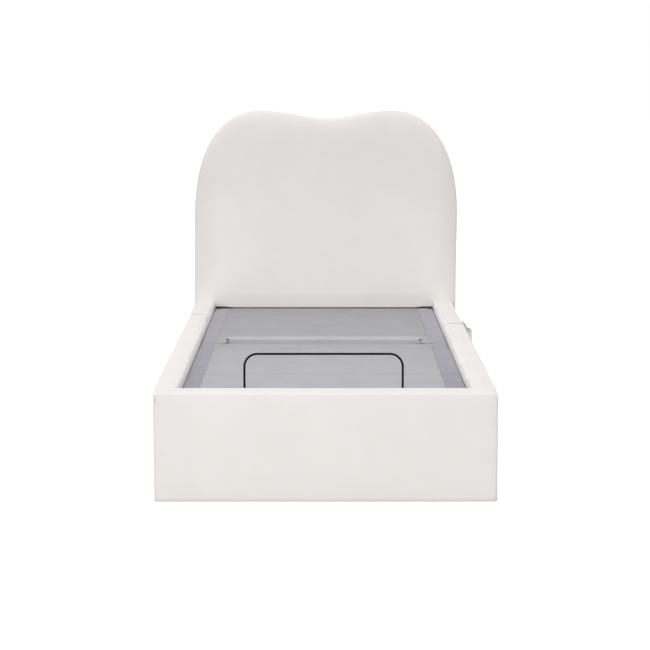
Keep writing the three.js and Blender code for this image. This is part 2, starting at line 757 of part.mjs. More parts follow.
function buildSeatSection() {
  const group = placedGroup(0, thighPivot, pivotHeight);
  const slopeFoot = seatLength - seatPadSetback;
  const pad = deckPad([-padEdgeRadius, seatLength + padEdgeRadius], 0, [
    [seatPadSetback, padLow],
    [slopeFoot, padLow],
    [slopeFoot - seatSlopeLength, padHigh],
    [slopeFoot - seatSlopeLength, padHigh + overrun],
    [seatPadSetback + seatThighLean, padHigh + overrun],
    [seatPadSetback + seatThighLean, padHigh],
  ]);
  addPiece(group, 'seat_pad', pad, 'deckCloth');
  addPiece(group, 'seat_board', deckBoard([boardGap, seatLength - boardGap], 0), 'timber');
}

// The lug at the thigh bar's knee end carries a pin that the calf bar's lug turns on.
function thighSideBar(side) {
  const bar = hingedSideBar(side, -1, thighLength - kneeBarSetback);
  const lugX = mirrorSpan(side, [lugInner, barOuter]);
  const pinX = mirrorSpan(side, [lugInner - lugThickness - fitGap, lugInner + fitGap]);
  const knee = barLug(1, kneeBarSetback, lugX).add(rodAlongX(pivotPinRadius, pinX, 0, 0));
  return bar.add(knee.translate([0, -thighLength, 0]));
}

function buildThighSection() {
  const group = placedGroup(0, thighPivot, pivotHeight);
  const padEnd = -thighLength + kneePadSetback;
  const pad = deckPad([-thighLength - padEdgeRadius, padEdgeRadius], 0, [
    [padEnd, padLow],
    [-headPadSetback, padLow],
    [-headPadSetback - thighPadLean, padHigh],
    [-headPadSetback - thighPadLean, padHigh + overrun],
    [padEnd, padHigh + overrun],
  ]);
  addPiece(group, 'thigh_pad', pad, 'deckCloth');
  addPiece(group, 'thigh_board', deckBoard([-thighLength + boardGap, -boardGap], 0), 'timber');
  addPiece(group, 'thigh_side_bar_left', thighSideBar(-1), 'steel');
  addPiece(group, 'thigh_side_bar_right', thighSideBar(1), 'steel');
  const lever = leverBar(-1, -actuatorOffset, footLeverRadius, footLeverAngle);
  addPiece(group, 'thigh_lever_bar', lever, 'steel');
}

// A calf bar: the knee lug's hole at one end, and an ear that hangs down to its level link.
function calfSideBar(side) {
  const lugX = mirrorSpan(side, [lugInner - lugThickness - fitGap, lugInner - fitGap]);
  const x = mirrorSpan(side, [barInner, barOuter]);
  const end = -calfLength + boardInset;
  const bar = extrudeAlongY(tubeSection(x, [barLow, barHigh]), [end, -kneeBarSetback]);
  const lug = barLug(-1, kneeBarSetback, lugX);
  const earOutline = polygon([
    [-linkOffsetAlong - linkEyeRadius, -linkDrop],
    [-linkOffsetAlong + linkEyeRadius, -linkDrop],
    [-linkOffsetAlong + linkPlateHalfWidth, barLow + tubeWall / 2],
    [-linkOffsetAlong - linkPlateHalfWidth, barLow + tubeWall / 2],
  ]);
  const earEnd = rodAlongX(linkEyeRadius, lugX, -linkOffsetAlong, -linkDrop);
  const ear = extrudeAlongX(earOutline, lugX).add(earEnd);
  const pinX = mirrorSpan(side, [lugInner - lugThickness / 2, barOuter]);
  const pin = rodAlongX(pivotPinRadius, pinX, -linkOffsetAlong, -linkDrop);
  return join(bar, lug, ear, pin).subtract(pinHole(lugX, 0));
}

const retainerStation = -calfLength + retainerInset;

function retainerHoles(z) {
  const radius = retainerRodRadius + retainerHoleClearance;
  const half = retainerSpacing / 2;
  return [-1, 1].map((side) => {
    return rodAlongZ(radius, z, retainerMiddle + side * half, retainerStation);
  });
}

function buildCalfSection() {
  const group = placedGroup(0, kneePivot, pivotHeight);
  const through = join(...retainerHoles([boardLow - overrun, padHigh + overrun]));
  const pad = deckPad([-calfLength, padCornerRadius], [padCornerRadius, padCornerRadius, 0, 0], [
    [-calfLength - overrun, padLow],
    [-kneePadSetback, padLow],
    [-kneePadSetback, padHigh + overrun],
    [-calfLength - overrun, padHigh + overrun],
  ]);
  addPiece(group, 'calf_pad', pad.subtract(through), 'deckCloth');
  const radii = [boardCornerRadius, boardCornerRadius, 0, 0];
  const board = deckBoard([-calfLength + boardInset, -boardGap], radii);
  addPiece(group, 'calf_board', board.subtract(through), 'timber');
  addPiece(group, 'calf_side_bar_left', calfSideBar(-1), 'steel');
  addPiece(group, 'calf_side_bar_right', calfSideBar(1), 'steel');
  addPiece(group, 'retainer_bar', retainerBar(), 'steel');
}

// A line through given points that an extrusion follows from point to point.
class PointToPointPath extends THREE.Curve {
  constructor(points) {
    super();
    this.points = points;
  }

  getPoint(t) {
    const place = Math.min(t, 1) * (this.points.length - 1);
    const index = Math.min(Math.floor(place), this.points.length - 2);
    return this.points[index].clone().lerp(this.points[index + 1], place - index);
  }

  getUtoTmapping(u) {
    return u;
  }
}

// One bent rod: two feet through the deck, two legs and a top with round corners.
function retainerBar() {
  const half = retainerSpacing / 2;
  const top = padHigh + retainerHeight;
  const r = retainerCornerRadius;
  const foot = padHigh - retainerFootLength;
  const rightSide = [[half, foot]];
  for (let step = 0; step <= BEND_STEPS; step += 1) {
    const turn = (step / BEND_STEPS) * (Math.PI / 2);
    rightSide.push([half - r + r * Math.cos(turn), top - r + r * Math.sin(turn)]);
  }
  const leftSide = [...rightSide].reverse().map(([x, z]) => [-x, z]);
  const points = [...rightSide, ...leftSide].map(([x, z]) => {
    return new THREE.Vector3(retainerMiddle + x, retainerStation, z);
  });
  const section = new THREE.Shape().absarc(0, 0, retainerRodRadius, 0, 2 * Math.PI, false);
  const path = new PointToPointPath(points);
  const options = { steps: points.length - 1, extrudePath: path, curveSegments: ROD_SIDES };
  const rod = new THREE.ExtrudeGeometry(section, options);
  const collarZ = [padHigh + fitGap, padHigh + fitGap + retainerCollarHeight];
  const collars = [-1, 1].map((side) => {
    const x = retainerMiddle + side * half;
    return rodAlongZ(retainerCollarRadius, collarZ, x, retainerStation, PIN_SIDES);
  });
  return join(solidOf(rod), ...collars);
}

// Level links

function levelLink(side) {
  const x = mirrorSpan(side, [barOuter - linkThickness, barOuter]);
  const bar = block(x, [-thighLength, 0], [-linkHalfWidth, linkHalfWidth]);
  const eyes = [0, -thighLength].map((y) => rodAlongX(linkEyeRadius, x, y, 0));
  const holes = [0, -thighLength].map((y) => pinHole(x, y));
  return join(bar, ...eyes).subtract(join(...holes));
}

function buildLinks() {
  const group = placedGroup(0, linkPivot, linkHeight);
  addPiece(group, 'level_link_left', levelLink(-1), 'steel');
  addPiece(group, 'level_link_right', levelLink(1), 'steel');
}

// Actuators. Each is drawn along its own +Y from the rear pin, in a plane through the lever's pin.

// Where the lever's pin lies from the section's pivot, with +y the way the actuator pushes.
function leverPin(radius, angle) {
  return new THREE.Vector2(radius * Math.sin(angle), -radius * Math.cos(angle));
}

// The line from the rear pin to the lever's pin: its length and its rise.
function reach(radius, angle, distance) {
  const line = leverPin(radius, angle).sub(new THREE.Vector2(-distance, -mountDrop));
  return { length: line.length(), rise: Math.atan2(line.y, line.x) };
}

// The rod's travel and tilt are even, and the lever's pin swings on an arc, so between the two
// ends of the travel the pin wanders from the rod's eye. This gives the furthest wander, as seen
// from the rod.
function pinWander(radius, angle, distance, travel) {
  const start = reach(radius, angle, distance);
  const end = reach(radius, angle + travel, distance);
  const middle = reach(radius, angle + travel / 2, distance);
  const lag = middle.length - (start.length + end.length) / 2;
  const swing = middle.length * (middle.rise - (start.rise + end.rise) / 2);
  return new THREE.Vector2(lag, swing);
}

function motorBody() {
  const eye = actuatorPinRadius + eyeWall;
  const eyeX = [-eyeThickness / 2, eyeThickness / 2];
  const rearEye = rodAlongX(eye, eyeX, 0, 0, ROUND_SIDES);
  const neck = block(eyeX, [0, gearboxStart + gearboxRounding], [-eye, eye]);
  const half = gearboxWidth / 2;
  const boxZ = [-gearboxHeight / 2, gearboxHeight / 2];
  const boxOutline = roundedRectangle([-half, half], boxZ, gearboxRounding);
  const gearbox = extrudeAlongY(
    boxOutline,
    [gearboxStart, gearboxStart + gearboxLength],
    { size: gearboxRounding / 2, depth: gearboxRounding / 2, steps: CORNER_STEPS, layers: 2 },
  );
  const motorY = gearboxStart + gearboxLength / 2;
  const motorFoot = -gearboxHeight / 2 - motorLength;
  const motor = rodAlongZ(motorRadius, [motorFoot, 0], 0, motorY);
  const capSpan = [motorFoot - motorCapHeight, motorFoot];
  const cap = rodAlongZ(motorRadius - outerTubeCollar, capSpan, 0, motorY);
  const tubeStart = gearboxStart + gearboxLength;
  const tube = rodAlongY(outerTubeRadius, [tubeStart - overrun, outerTubeEnd], 0, 0);
  const collarY = [outerTubeEnd - outerTubeCollarLength, outerTubeEnd];
  const collar = rodAlongY(outerTubeRadius + outerTubeCollar, collarY, 0, 0);
  const bore = rodAlongY(rodRadius + rodClearance, [tubeStart, outerTubeEnd + overrun], 0, 0);
  const pinHole = actuatorPinRadius + actuatorPinClearance;
  const hole = rodAlongX(pinHole, [-eyeThickness, eyeThickness], 0, 0);
  return join(rearEye, neck, gearbox, motor, cap, tube, collar).subtract(bore).subtract(hole);
}

// The rod, with an eye plate slotted for the way that the lever's pin wanders.
function actuatorRod(length, wander) {
  const eyeX = [-eyeThickness / 2, eyeThickness / 2];
  const slotRadius = actuatorPinRadius + slotClearance;
  const stadium = (radius, x) => {
    const far = rodAlongX(radius, x, length + wander.x, wander.y, ROUND_SIDES);
    const near = rodAlongX(radius, x, length, 0, ROUND_SIDES);
    const run = wander.length();
    const strip = new THREE.BoxGeometry(x[1] - x[0], run, 2 * radius);
    strip.rotateX(Math.atan2(wander.y, wander.x));
    strip.translate((x[0] + x[1]) / 2, length + wander.x / 2, wander.y / 2);
    return join(far, near, solidOf(strip));
  };
  const rodEnd = length - actuatorPinRadius - eyeWall - rodEndClearance;
  const rod = rodAlongY(rodRadius, [rodHiddenStart, rodEnd], 0, 0);
  const neckHalf = rodRadius - rodClearance;
  const neck = block(eyeX, [rodEnd - rodNeckOverlap, length], [-neckHalf, neckHalf]);
  const slot = stadium(slotRadius, [-eyeThickness, eyeThickness]);
  return join(rod, neck, stadium(slotRadius + eyeWall, eyeX)).subtract(slot);
}

function buildActuator(place, name, radius, angle, distance, travel) {
  const line = reach(radius, angle, distance);
  const tilted = new THREE.Group();
  tilted.rotation.x = line.rise;
  place.add(tilted);
  addPiece(tilted, `${name}_actuator`, motorBody(), 'blackPlastic');
  const wander = pinWander(radius, angle, distance, travel);
  addPiece(tilted, `${name}_actuator_rod`, actuatorRod(line.length, wander), 'bareSteel');
}

function buildActuators() {
  const headTravel = headTravelShare * Math.PI;
  const headPlace = placedGroup(actuatorOffset, headMount, mountHeight);
  buildActuator(headPlace, 'head', headLeverRadius, headLeverAngle, headMountDistance, headTravel);
  const footTravel = thighTravelShare * Math.PI;
  const footPlace = placedGroup(-actuatorOffset, footMount, mountHeight);
  footPlace.rotation.z = Math.PI;
  buildActuator(footPlace, 'foot', footLeverRadius, footLeverAngle, footMountDistance, footTravel);
}

// Pocket and handset, drawn from the rail's outer face with x outwards and z from the pocket's floor.

const pocketFloor = surroundHeight - pocketBelowTop - pocketHeight;
const pocketFootDepth = 2 * (pocketWall + fitGap) + handsetThickness + handsetEase;
const pocketDepth = pocketFootDepth + pocketFlare;

function sidePocket() {
  const half = pocketLength / 2;
  const back = fitGap;
  const profile = (inset, top) => polygon([
    [back + inset, inset],
    [pocketFootDepth - inset, inset],
    [pocketDepth - inset, top],
    [back + inset, top],
  ]);
  const outer = extrudeAlongY(profile(0, pocketHeight), [-half, half]);
  const radii = [pocketCornerRadius, pocketCornerRadius, 0, 0];
  const face = roundedRectangle([-half, half], [0, pocketHeight], radii);
  const rounded = outer.intersect(extrudeAlongX(face, [0, pocketDepth]));
  const innerSpan = [-half + pocketWall, half - pocketWall];
  const inner = extrudeAlongY(profile(pocketWall, pocketHeight + overrun), innerSpan);
  const innerRadii = [pocketCornerRadius - pocketWall, pocketCornerRadius - pocketWall, 0, 0];
  const innerFace = roundedRectangle(innerSpan, [pocketWall, pocketHeight + 2 * overrun], innerRadii);
  return rounded.subtract(inner.intersect(extrudeAlongX(innerFace, [-overrun, pocketDepth])));
}

const buttonPlaces = [
  ['head_up', -1, 0],
  ['foot_up', 1, 0],
  ['head_down', -1, 1],
  ['foot_down', 1, 1],
  ['lie_flat', -1, 2],
  ['zero_gravity', 1, 2],
];

function buildHandset(pocket) {
  const seat = pocketWall + fitGap;
  const group = placedGroup(seat + fitGap, -handsetShift, seat, pocket);
  const half = handsetWidth / 2;
  const outline = roundedRectangle([-half, half], [0, handsetLength], handsetCornerRadius);
  const options = {
    depth: handsetThickness - 2 * handsetRounding,
    bevelThickness: handsetRounding,
    bevelSize: handsetRounding,
    bevelOffset: -handsetRounding,
    bevelSegments: 2,
    curveSegments: CORNER_STEPS,
  };
  const turn = new THREE.Matrix4().set(0, 0, 1, handsetRounding, 1, 0, 0, 0, 0, 1, 0, 0, 0, 0, 0, 1);
  let casing = solidOf(new THREE.ExtrudeGeometry(outline, options).applyMatrix4(turn));
  const well = [handsetThickness - buttonDepth, handsetThickness + overrun];
  const buttons = new THREE.Group();
  for (const [name, column, row] of buttonPlaces) {
    const y = -column * buttonColumnSpacing / 2;
    const z = handsetLength - buttonTopInset - row * buttonRowSpacing;
    casing = casing.subtract(rodAlongX(buttonRadius + buttonClearance, well, y, z));
    const low = well[0] + buttonProud;
    const stud = rodAlongX(buttonRadius, [low, low + buttonDepth], y, z);
    addPiece(buttons, `button_${name}`, stud, 'greyPlastic');
  }
  addPiece(group, 'handset_casing', casing, 'blackPlastic');
  group.add(buttons);
}

function buildPocket() {
  const pocket = placedGroup(surroundWidth / 2, footFace + pocketFromFoot, pocketFloor);
  addPiece(pocket, 'side_pocket', sidePocket(), 'upholstery');
  buildHandset(pocket);
}

buildHeadboard();
buildRail(-1, 'left');
buildRail(1, 'right');
buildFootboard();
buildCornerAngles();
buildBase();
buildHeadSection();
buildSeatSection();
buildThighSection();
buildCalfSection();
buildLinks();
buildActuators();
buildPocket();

export default bed;
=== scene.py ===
"""A powered adjustable bed base in a padded surround, dressed for the studio over its frame.

Lengths are in metres. +X is to the right as seen from the foot end, +Y points to the
headboard and +Z is up. The origin is on the floor under the middle of the bed.
"""

import json
import logging
import math
from dataclasses import dataclass
from enum import Enum
from itertools import product
from typing import Callable, Iterable, Sequence

import bmesh
import bpy
from mathutils import Matrix, Vector, noise

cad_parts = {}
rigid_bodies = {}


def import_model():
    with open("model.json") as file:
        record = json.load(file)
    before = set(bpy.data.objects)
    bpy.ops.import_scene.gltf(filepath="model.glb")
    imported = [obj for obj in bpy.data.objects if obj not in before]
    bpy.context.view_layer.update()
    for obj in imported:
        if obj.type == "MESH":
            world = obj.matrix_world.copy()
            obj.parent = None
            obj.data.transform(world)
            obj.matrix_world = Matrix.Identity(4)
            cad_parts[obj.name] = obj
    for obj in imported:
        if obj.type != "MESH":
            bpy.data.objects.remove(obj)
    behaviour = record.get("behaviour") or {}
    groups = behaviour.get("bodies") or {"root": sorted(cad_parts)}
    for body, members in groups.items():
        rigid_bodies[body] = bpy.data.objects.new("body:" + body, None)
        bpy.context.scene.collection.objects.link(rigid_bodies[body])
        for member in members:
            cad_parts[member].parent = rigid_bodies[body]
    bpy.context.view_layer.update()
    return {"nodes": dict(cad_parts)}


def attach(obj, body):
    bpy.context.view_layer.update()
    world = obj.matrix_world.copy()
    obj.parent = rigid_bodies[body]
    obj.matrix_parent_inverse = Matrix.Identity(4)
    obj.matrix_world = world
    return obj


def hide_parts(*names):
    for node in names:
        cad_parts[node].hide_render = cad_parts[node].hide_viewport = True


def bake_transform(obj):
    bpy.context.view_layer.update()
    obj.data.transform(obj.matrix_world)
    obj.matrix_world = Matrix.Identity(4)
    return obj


for spare in list(bpy.data.objects):
    bpy.data.objects.remove(spare, do_unlink=True)

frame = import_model()

LOG = logging.getLogger("bed")

Socket = bpy.types.NodeSocket
Node = bpy.types.Node
Tree = bpy.types.NodeTree
Material = bpy.types.Material
Mesh = bmesh.types.BMesh
Edge = bmesh.types.BMEdge
Face = bmesh.types.BMFace
Pair = tuple[float, float]
Point = tuple[float, float, float]
Colour = tuple[float, float, float]
Measure = Callable[[Vector, Vector], float]

TINY = 1e-6
FLOOR_GAP = 0.0003
PUFF_START = 0.6
PUFF_PRESSURE = 4.0
PUFF_FRAMES = 20


class Axis(Enum):
    """The three axes of the frame."""

    X = 0
    Y = 1
    Z = 2


class Side(Enum):
    """The two long sides of the bed, by the sign of their x."""

    LEFT = -1
    RIGHT = 1

    @property
    def label(self) -> str:
        """The side's name as the frame's nodes spell it."""
        return self.name.lower()


# Mesh work


def even_stations(low: float, high: float, pitch: float) -> list[float]:
    """Evenly spaced stations from low to high, about pitch apart.

    Args:
        low: The first station.
        high: The last station.
        pitch: The wanted spacing.

    Returns:
        The stations, both ends included.
    """
    count = max(1, round((high - low) / pitch))
    return [low + (high - low) * i / count for i in range(count + 1)]


def rounded_stations(
    low: float,
    high: float,
    pitch: float,
    radii: Pair,
    steps: int = 4,
    extra: Iterable[float] = (),
) -> list[float]:
    """Stations along an axis that crowd together where the ends get rounded.

    Args:
        low: The low end of the block.
        high: The high end of the block.
        pitch: The spacing between the rounded ends.
        radii: The rounding at the low and at the high end.
        steps: The stations within one rounding.
        extra: More stations, such as the edge of an opening.

    Returns:
        The sorted stations.
    """
    shares = [1 - math.tan(math.pi / 4 * (1 - i / steps)) for i in range(steps)]
    near = [low + radii[0] * share for share in shares]
    far = [high - radii[1] * share for share in shares]
    ends = (near if radii[0] else []) + (far if radii[1] else [])
    stations = ends + even_stations(low + radii[0], high - radii[1], pitch)
    fixed = list(extra)
    spare = [s for s in stations if s in (low, high) or all(abs(s - f) > pitch / 4 for f in fixed)]
    return sorted(spare + fixed)


def lattice_block(stations: Sequence[Sequence[float]]) -> Mesh:
    """A closed block whose six sides carry grid lines at the given stations.

    Args:
        stations: The stations along x, y and z.

    Returns:
        The block as a mesh under work.
    """
    bm = bmesh.new()
    bmesh.ops.create_cube(bm, size=1.0)
    for axis, line in enumerate(stations):
        along = [e for e in bm.edges if abs(e.verts[0].co[axis] - e.verts[1].co[axis]) > 0.5]
        if len(line) > 2:
            bmesh.ops.subdivide_edges(bm, edges=along, cuts=len(line) - 2, use_grid_fill=True)
    for vert in bm.verts:
        for axis, line in enumerate(stations):
            vert.co[axis] = line[round((vert.co[axis] + 0.5) * (len(line) - 1))]
    bm.normal_update()
    return bm


def unroll_block(bm: Mesh, high: Sequence[float]) -> None:
    """Lays a square block out flat in metres, so that a weave runs on round its long edges.

    Args:
        bm: The block, before it is rounded.
        high: The block's highest corner.
    """
    layer = bm.loops.layers.uv.new("weave")
    for face in bm.faces:
        normal = face.normal
        main = max(range(3), key=lambda axis: abs(normal[axis]))
        for loop in face.loops:
            x, y, z = loop.vert.co
            drop = high[2] - z
            if main == Axis.Z.value:
                loop[layer].uv = (x, y)
            elif main == Axis.X.value:
                loop[layer].uv = (x + math.copysign(drop, normal.x), y)
            else:
                loop[layer].uv = (x, y + math.copysign(drop, normal.y))


def round_block(bm: Mesh, box: tuple[Point, Point], radii: tuple[Point, Point]) -> None:
    """Rounds a block's edges by pulling its grid round the edges of an inner block.

    Args:
        bm: The block, changed in place.
        box: Its lowest and highest corner.
        radii: The rounding at the low and the high end of each axis, 0 for a sharp end.
    """
    for vert in bm.verts:
        unit = [0.0, 0.0, 0.0]
        base = list(vert.co)
        span = [0.0, 0.0, 0.0]
        for axis in range(3):
            low, high = box[0][axis] + radii[0][axis], box[1][axis] - radii[1][axis]
            if radii[0][axis] and vert.co[axis] < low - TINY:
                base[axis], span[axis] = low, radii[0][axis]
            elif radii[1][axis] and vert.co[axis] > high + TINY:
                base[axis], span[axis] = high, radii[1][axis]
            if span[axis]:
                unit[axis] = (vert.co[axis] - base[axis]) / span[axis]
        length = math.sqrt(sum(u * u for u in unit))
        if length < TINY:
            continue
        share = max(abs(u) for u in unit) / length
        vert.co = [base[a] + unit[a] * share * span[a] for a in range(3)]


def cut_away(bm: Mesh, inside: Callable[[Vector], bool]) -> None:
    """Deletes the faces whose middle lies inside, and what only they used."""
    doomed = [f for f in bm.faces if inside(f.calc_center_median())]
    bmesh.ops.delete(bm, geom=doomed, context="FACES")


def push_out(bm: Mesh, amount: Measure) -> None:
    """Moves every vertex along its normal.

    Args:
        bm: The mesh, changed in place.
        amount: The distance by place and normal.
    """
    bm.normal_update()
    moves = [(vert, vert.normal * amount(vert.co, vert.normal)) for vert in bm.verts]
    for vert, move in moves:
        vert.co += move


def keep_up(bm: Mesh) -> None:
    """Keeps a shape that stands on the floor from sinking into it.

    Args:
        bm: The shape in its place, changed in place.
    """
    for vert in bm.verts:
        vert.co.z = max(vert.co.z, FLOOR_GAP)


def puff(bm: Mesh, cap: float, loose: Measure) -> None:
    """Lets a padded shape swell with Blender's Cloth, and keeps its size overall.

    The shape starts a little small. Its cover is blown up without gravity, and each
    point moves at most by the cap.

    Args:
        bm: The shape, changed in place.
        cap: How far a point may move.
        loose: How free the cover is at a place with a normal, from 0 (held) to 1.
    """
    bm.normal_update()
    free = [clamp(loose(vert.co, vert.normal)) for vert in bm.verts]
    start = [v.co - v.normal * PUFF_START * cap * share for v, share in zip(bm.verts, free)]
    mesh = bpy.data.meshes.new("puff")
    bm.to_mesh(mesh)
    mesh.vertices.foreach_set("co", [value for place in start for value in place])
    blown = bpy.data.objects.new("puff", mesh)
    stage = bpy.context.scene
    stage.collection.objects.link(blown)
    pins = blown.vertex_groups.new(name="held")
    for index, share in enumerate(free):
        pins.add([index], 1.0 - share, "REPLACE")
    cloth = blown.modifiers.new("cloth", "CLOTH")
    cloth.settings.vertex_group_mass = pins.name
    cloth.settings.use_pressure = True
    cloth.settings.uniform_pressure_force = PUFF_PRESSURE
    cloth.settings.effector_weights.gravity = 0.0
    cloth.collision_settings.use_collision = False
    for tick in range(1, PUFF_FRAMES + 1):
        stage.frame_set(tick)
    shown = blown.evaluated_get(bpy.context.evaluated_depsgraph_get())
    furthest = 0.0
    for vert, place, end in zip(bm.verts, start, shown.data.vertices):
        shift = end.co - place
        furthest = max(furthest, shift.length)
        vert.co = place + shift * (cap / (cap + shift.length))
    LOG.info("cloth moved a cover by up to %.1f mm before its cap", furthest * 1000)
    bpy.data.objects.remove(blown)
    bpy.data.meshes.remove(mesh)
    stage.frame_set(1)


def soil(bm: Mesh, amount: Measure) -> None:
    """Notes on every vertex how much painted shade its seams, creases and pleats get, from 0 to 1."""
    layer = bm.verts.layers.float.new("soil")
    for vert in bm.verts:
        vert[layer] = clamp(amount(vert.co, vert.normal))


def clamp(value: float) -> float:
    """A value held between 0 and 1."""
    return min(1.0, max(0.0, value))


def ramp(value: float, low: float, high: float) -> float:
    """A smooth step from 0 at low to 1 at high; low may be the larger."""
    share = clamp((value - low) / (high - low))
    return share * share * (3 - 2 * share)


def bump(value: float, middle: float, width: float) -> float:
    """A smooth hump of height 1 round the middle, near 0 past twice the width."""
    return math.exp(-(((value - middle) / width) ** 2))


def ripple(place: Vector, scale: float, seed: float) -> float:
    """Even noise between about -1 and 1 that repeats at about scale metres."""
    return noise.noise(place / scale + Vector((seed, -seed, 0.37 * seed)))


def closed_loop(bm: Mesh, places: Iterable[Sequence[float]]) -> list[Edge]:
    """Draws a closed loop of edges through the places."""
    verts = [bm.verts.new(place) for place in places]
    return [bm.edges.new(pair) for pair in zip(verts, verts[1:] + verts[:1])]


def bridge(bm: Mesh, loops: Sequence[list[Edge]]) -> None:
    """Skins a shape from each closed loop to the next."""
    for first, second in zip(loops, loops[1:]):
        bmesh.ops.bridge_loops(bm, edges=first + second)


def slice_faces(
    bm: Mesh, axis: Axis, places: Iterable[float], chosen: Callable[[Face], bool] | None = None
) -> None:
    """Cuts faces along planes square to an axis.

    Args:
        bm: The mesh, changed in place.
        axis: The axis that the planes are square to.
        places: Where the planes cross it.
        chosen: Picks the faces to cut; without it all are cut.
    """
    normal = Vector([float(index == axis.value) for index in range(3)])
    for place in places:
        faces = [f for f in bm.faces if chosen is None or chosen(f)]
        edges, verts = {e for f in faces for e in f.edges}, {v for f in faces for v in f.verts}
        geom = [*faces, *edges, *verts]
        bmesh.ops.bisect_plane(bm, geom=geom, dist=TINY, plane_co=normal * place, plane_no=normal)


def cloth_grid(span: Pair, along: Pair, cells: Sequence[int], height: float) -> Mesh:
    """A flat strip of cloth, laid out for its weave.

    Args:
        span: Its ends along X.
        along: Its ends along Y.
        cells: The cells of its grid along X and Y.
        height: Its place along Z.

    Returns:
        The strip.
    """
    bm = bmesh.new()
    bmesh.ops.create_grid(bm, x_segments=cells[0], y_segments=cells[1], size=0.5)
    size = Matrix.Diagonal((span[1] - span[0], along[1] - along[0], 1.0, 1.0))
    placed(bm, at(sum(span) / 2, sum(along) / 2, height) @ size)
    layer = bm.loops.layers.uv.new("weave")
    for face in bm.faces:
        for loop in face.loops:
            loop[layer].uv = loop.vert.co.xy
    return bm


def lathe(profile: Sequence[Pair], steps: int = 40) -> Mesh:
    """Turns a profile of (radius, height) points once about Z.

    Args:
        profile: The points, from one end of the axis to the other.
        steps: The steps of the turn.

    Returns:
        The turned shape, closed where the profile reaches the axis.
    """
    bm = bmesh.new()
    verts = [bm.verts.new((radius, 0.0, height)) for radius, height in profile]
    edges = [bm.edges.new(pair) for pair in zip(verts, verts[1:])]
    bmesh.ops.spin(
        bm,
        geom=verts + edges,
        cent=(0, 0, 0),
        axis=(0, 0, 1),
        angle=math.tau,
        steps=steps,
        use_merge=True,
    )
    return healed(bm)


def healed(bm: Mesh) -> Mesh:
    """Merges what lies on one spot and turns the faces outwards."""
    bmesh.ops.remove_doubles(bm, verts=bm.verts, dist=1e-5)
    bmesh.ops.recalc_face_normals(bm, faces=bm.faces)
    return bm


def soft_box(low: Point, high: Point, radius: float, segments: int = 3) -> Mesh:
    """A box with all its edges rounded.

    Args:
        low: Its lowest corner.
        high: Its highest corner.
        radius: The rounding.
        segments: The segments of the rounding.

    Returns:
        The box.
    """
    bm = bmesh.new()
    bmesh.ops.create_cube(bm, size=1.0)
    size = Vector(high) - Vector(low)
    bmesh.ops.scale(bm, vec=size, verts=bm.verts)
    bmesh.ops.translate(bm, vec=(Vector(high) + Vector(low)) / 2, verts=bm.verts)
    if radius:
        round_edges(bm, list(bm.edges), radius, segments)
    return bm


def round_edges(bm: Mesh, edges: list[Edge], radius: float, segments: int) -> None:
    """Bevels the given edges to a round of that radius."""
    bmesh.ops.bevel(
        bm,
        geom=edges,
        offset=radius,
        offset_type="OFFSET",
        affect="EDGES",
        segments=segments,
        profile=0.5,
        material=-1,
        clamp_overlap=True,
    )


def plate(outline: Sequence[Pair], thickness: float) -> Mesh:
    """A plate whose outline lies in x and y, from z = 0 up to its thickness."""
    bm = bmesh.new()
    face = bm.faces.new([bm.verts.new((x, y, 0.0)) for x, y in outline])
    grown = bmesh.ops.extrude_face_region(bm, geom=[face])["geom"]
    tops = [g for g in grown if isinstance(g, bmesh.types.BMVert)]
    bmesh.ops.translate(bm, vec=(0, 0, thickness), verts=tops)
    bmesh.ops.recalc_face_normals(bm, faces=bm.faces)
    return bm


def rod_along(path: Sequence[Vector], radius: float, sides: int) -> Mesh:
    """A round rod swept along a path, closed at both ends.

    Args:
        path: The points of its middle line.
        radius: Its radius.
        sides: The sides of its section.

    Returns:
        The rod.
    """
    bm = bmesh.new()
    ring = bmesh.ops.create_circle(bm, segments=sides, radius=radius)["verts"]
    facing, here = Vector((0, 0, 1)), Vector((0, 0, 0))
    for index, point in enumerate(path):
        if index:
            members = set(ring)
            rim = {e for v in ring for e in v.link_edges if e.other_vert(v) in members}
            grown = bmesh.ops.extrude_edge_only(bm, edges=list(rim))["geom"]
            ring = [g for g in grown if isinstance(g, bmesh.types.BMVert)]
        ahead = path[min(index + 1, len(path) - 1)] - path[max(index - 1, 0)]
        turn = facing.rotation_difference(ahead.normalized()).to_matrix()
        bmesh.ops.rotate(bm, cent=here, matrix=turn, verts=ring)
        bmesh.ops.translate(bm, vec=point - here, verts=ring)
        facing, here = ahead.normalized(), point
    bmesh.ops.holes_fill(bm, edges=[e for e in bm.edges if e.is_boundary], sides=sides)
    bmesh.ops.recalc_face_normals(bm, faces=bm.faces)
    return bm


def joined(parts: Iterable[Mesh]) -> Mesh:
    """Puts several worked shapes into one mesh and frees them."""
    whole = bmesh.new()
    for part in parts:
        shell = bpy.data.meshes.new("part")
        part.to_mesh(shell)
        part.free()
        whole.from_mesh(shell)
        bpy.data.meshes.remove(shell)
    return whole


def placed(bm: Mesh, matrix: Matrix) -> Mesh:
    """Moves a worked shape as the matrix says and gives it back."""
    bmesh.ops.transform(bm, matrix=matrix, verts=bm.verts)
    if matrix.determinant() < 0:
        bmesh.ops.reverse_faces(bm, faces=bm.faces)
    return bm


def at(x: float, y: float, z: float) -> Matrix:
    """A move to a point."""
    return Matrix.Translation((x, y, z))


def turned(degrees: float, axis: Axis) -> Matrix:
    """A turn about an axis through the origin."""
    return Matrix.Rotation(math.radians(degrees), 4, axis.name)


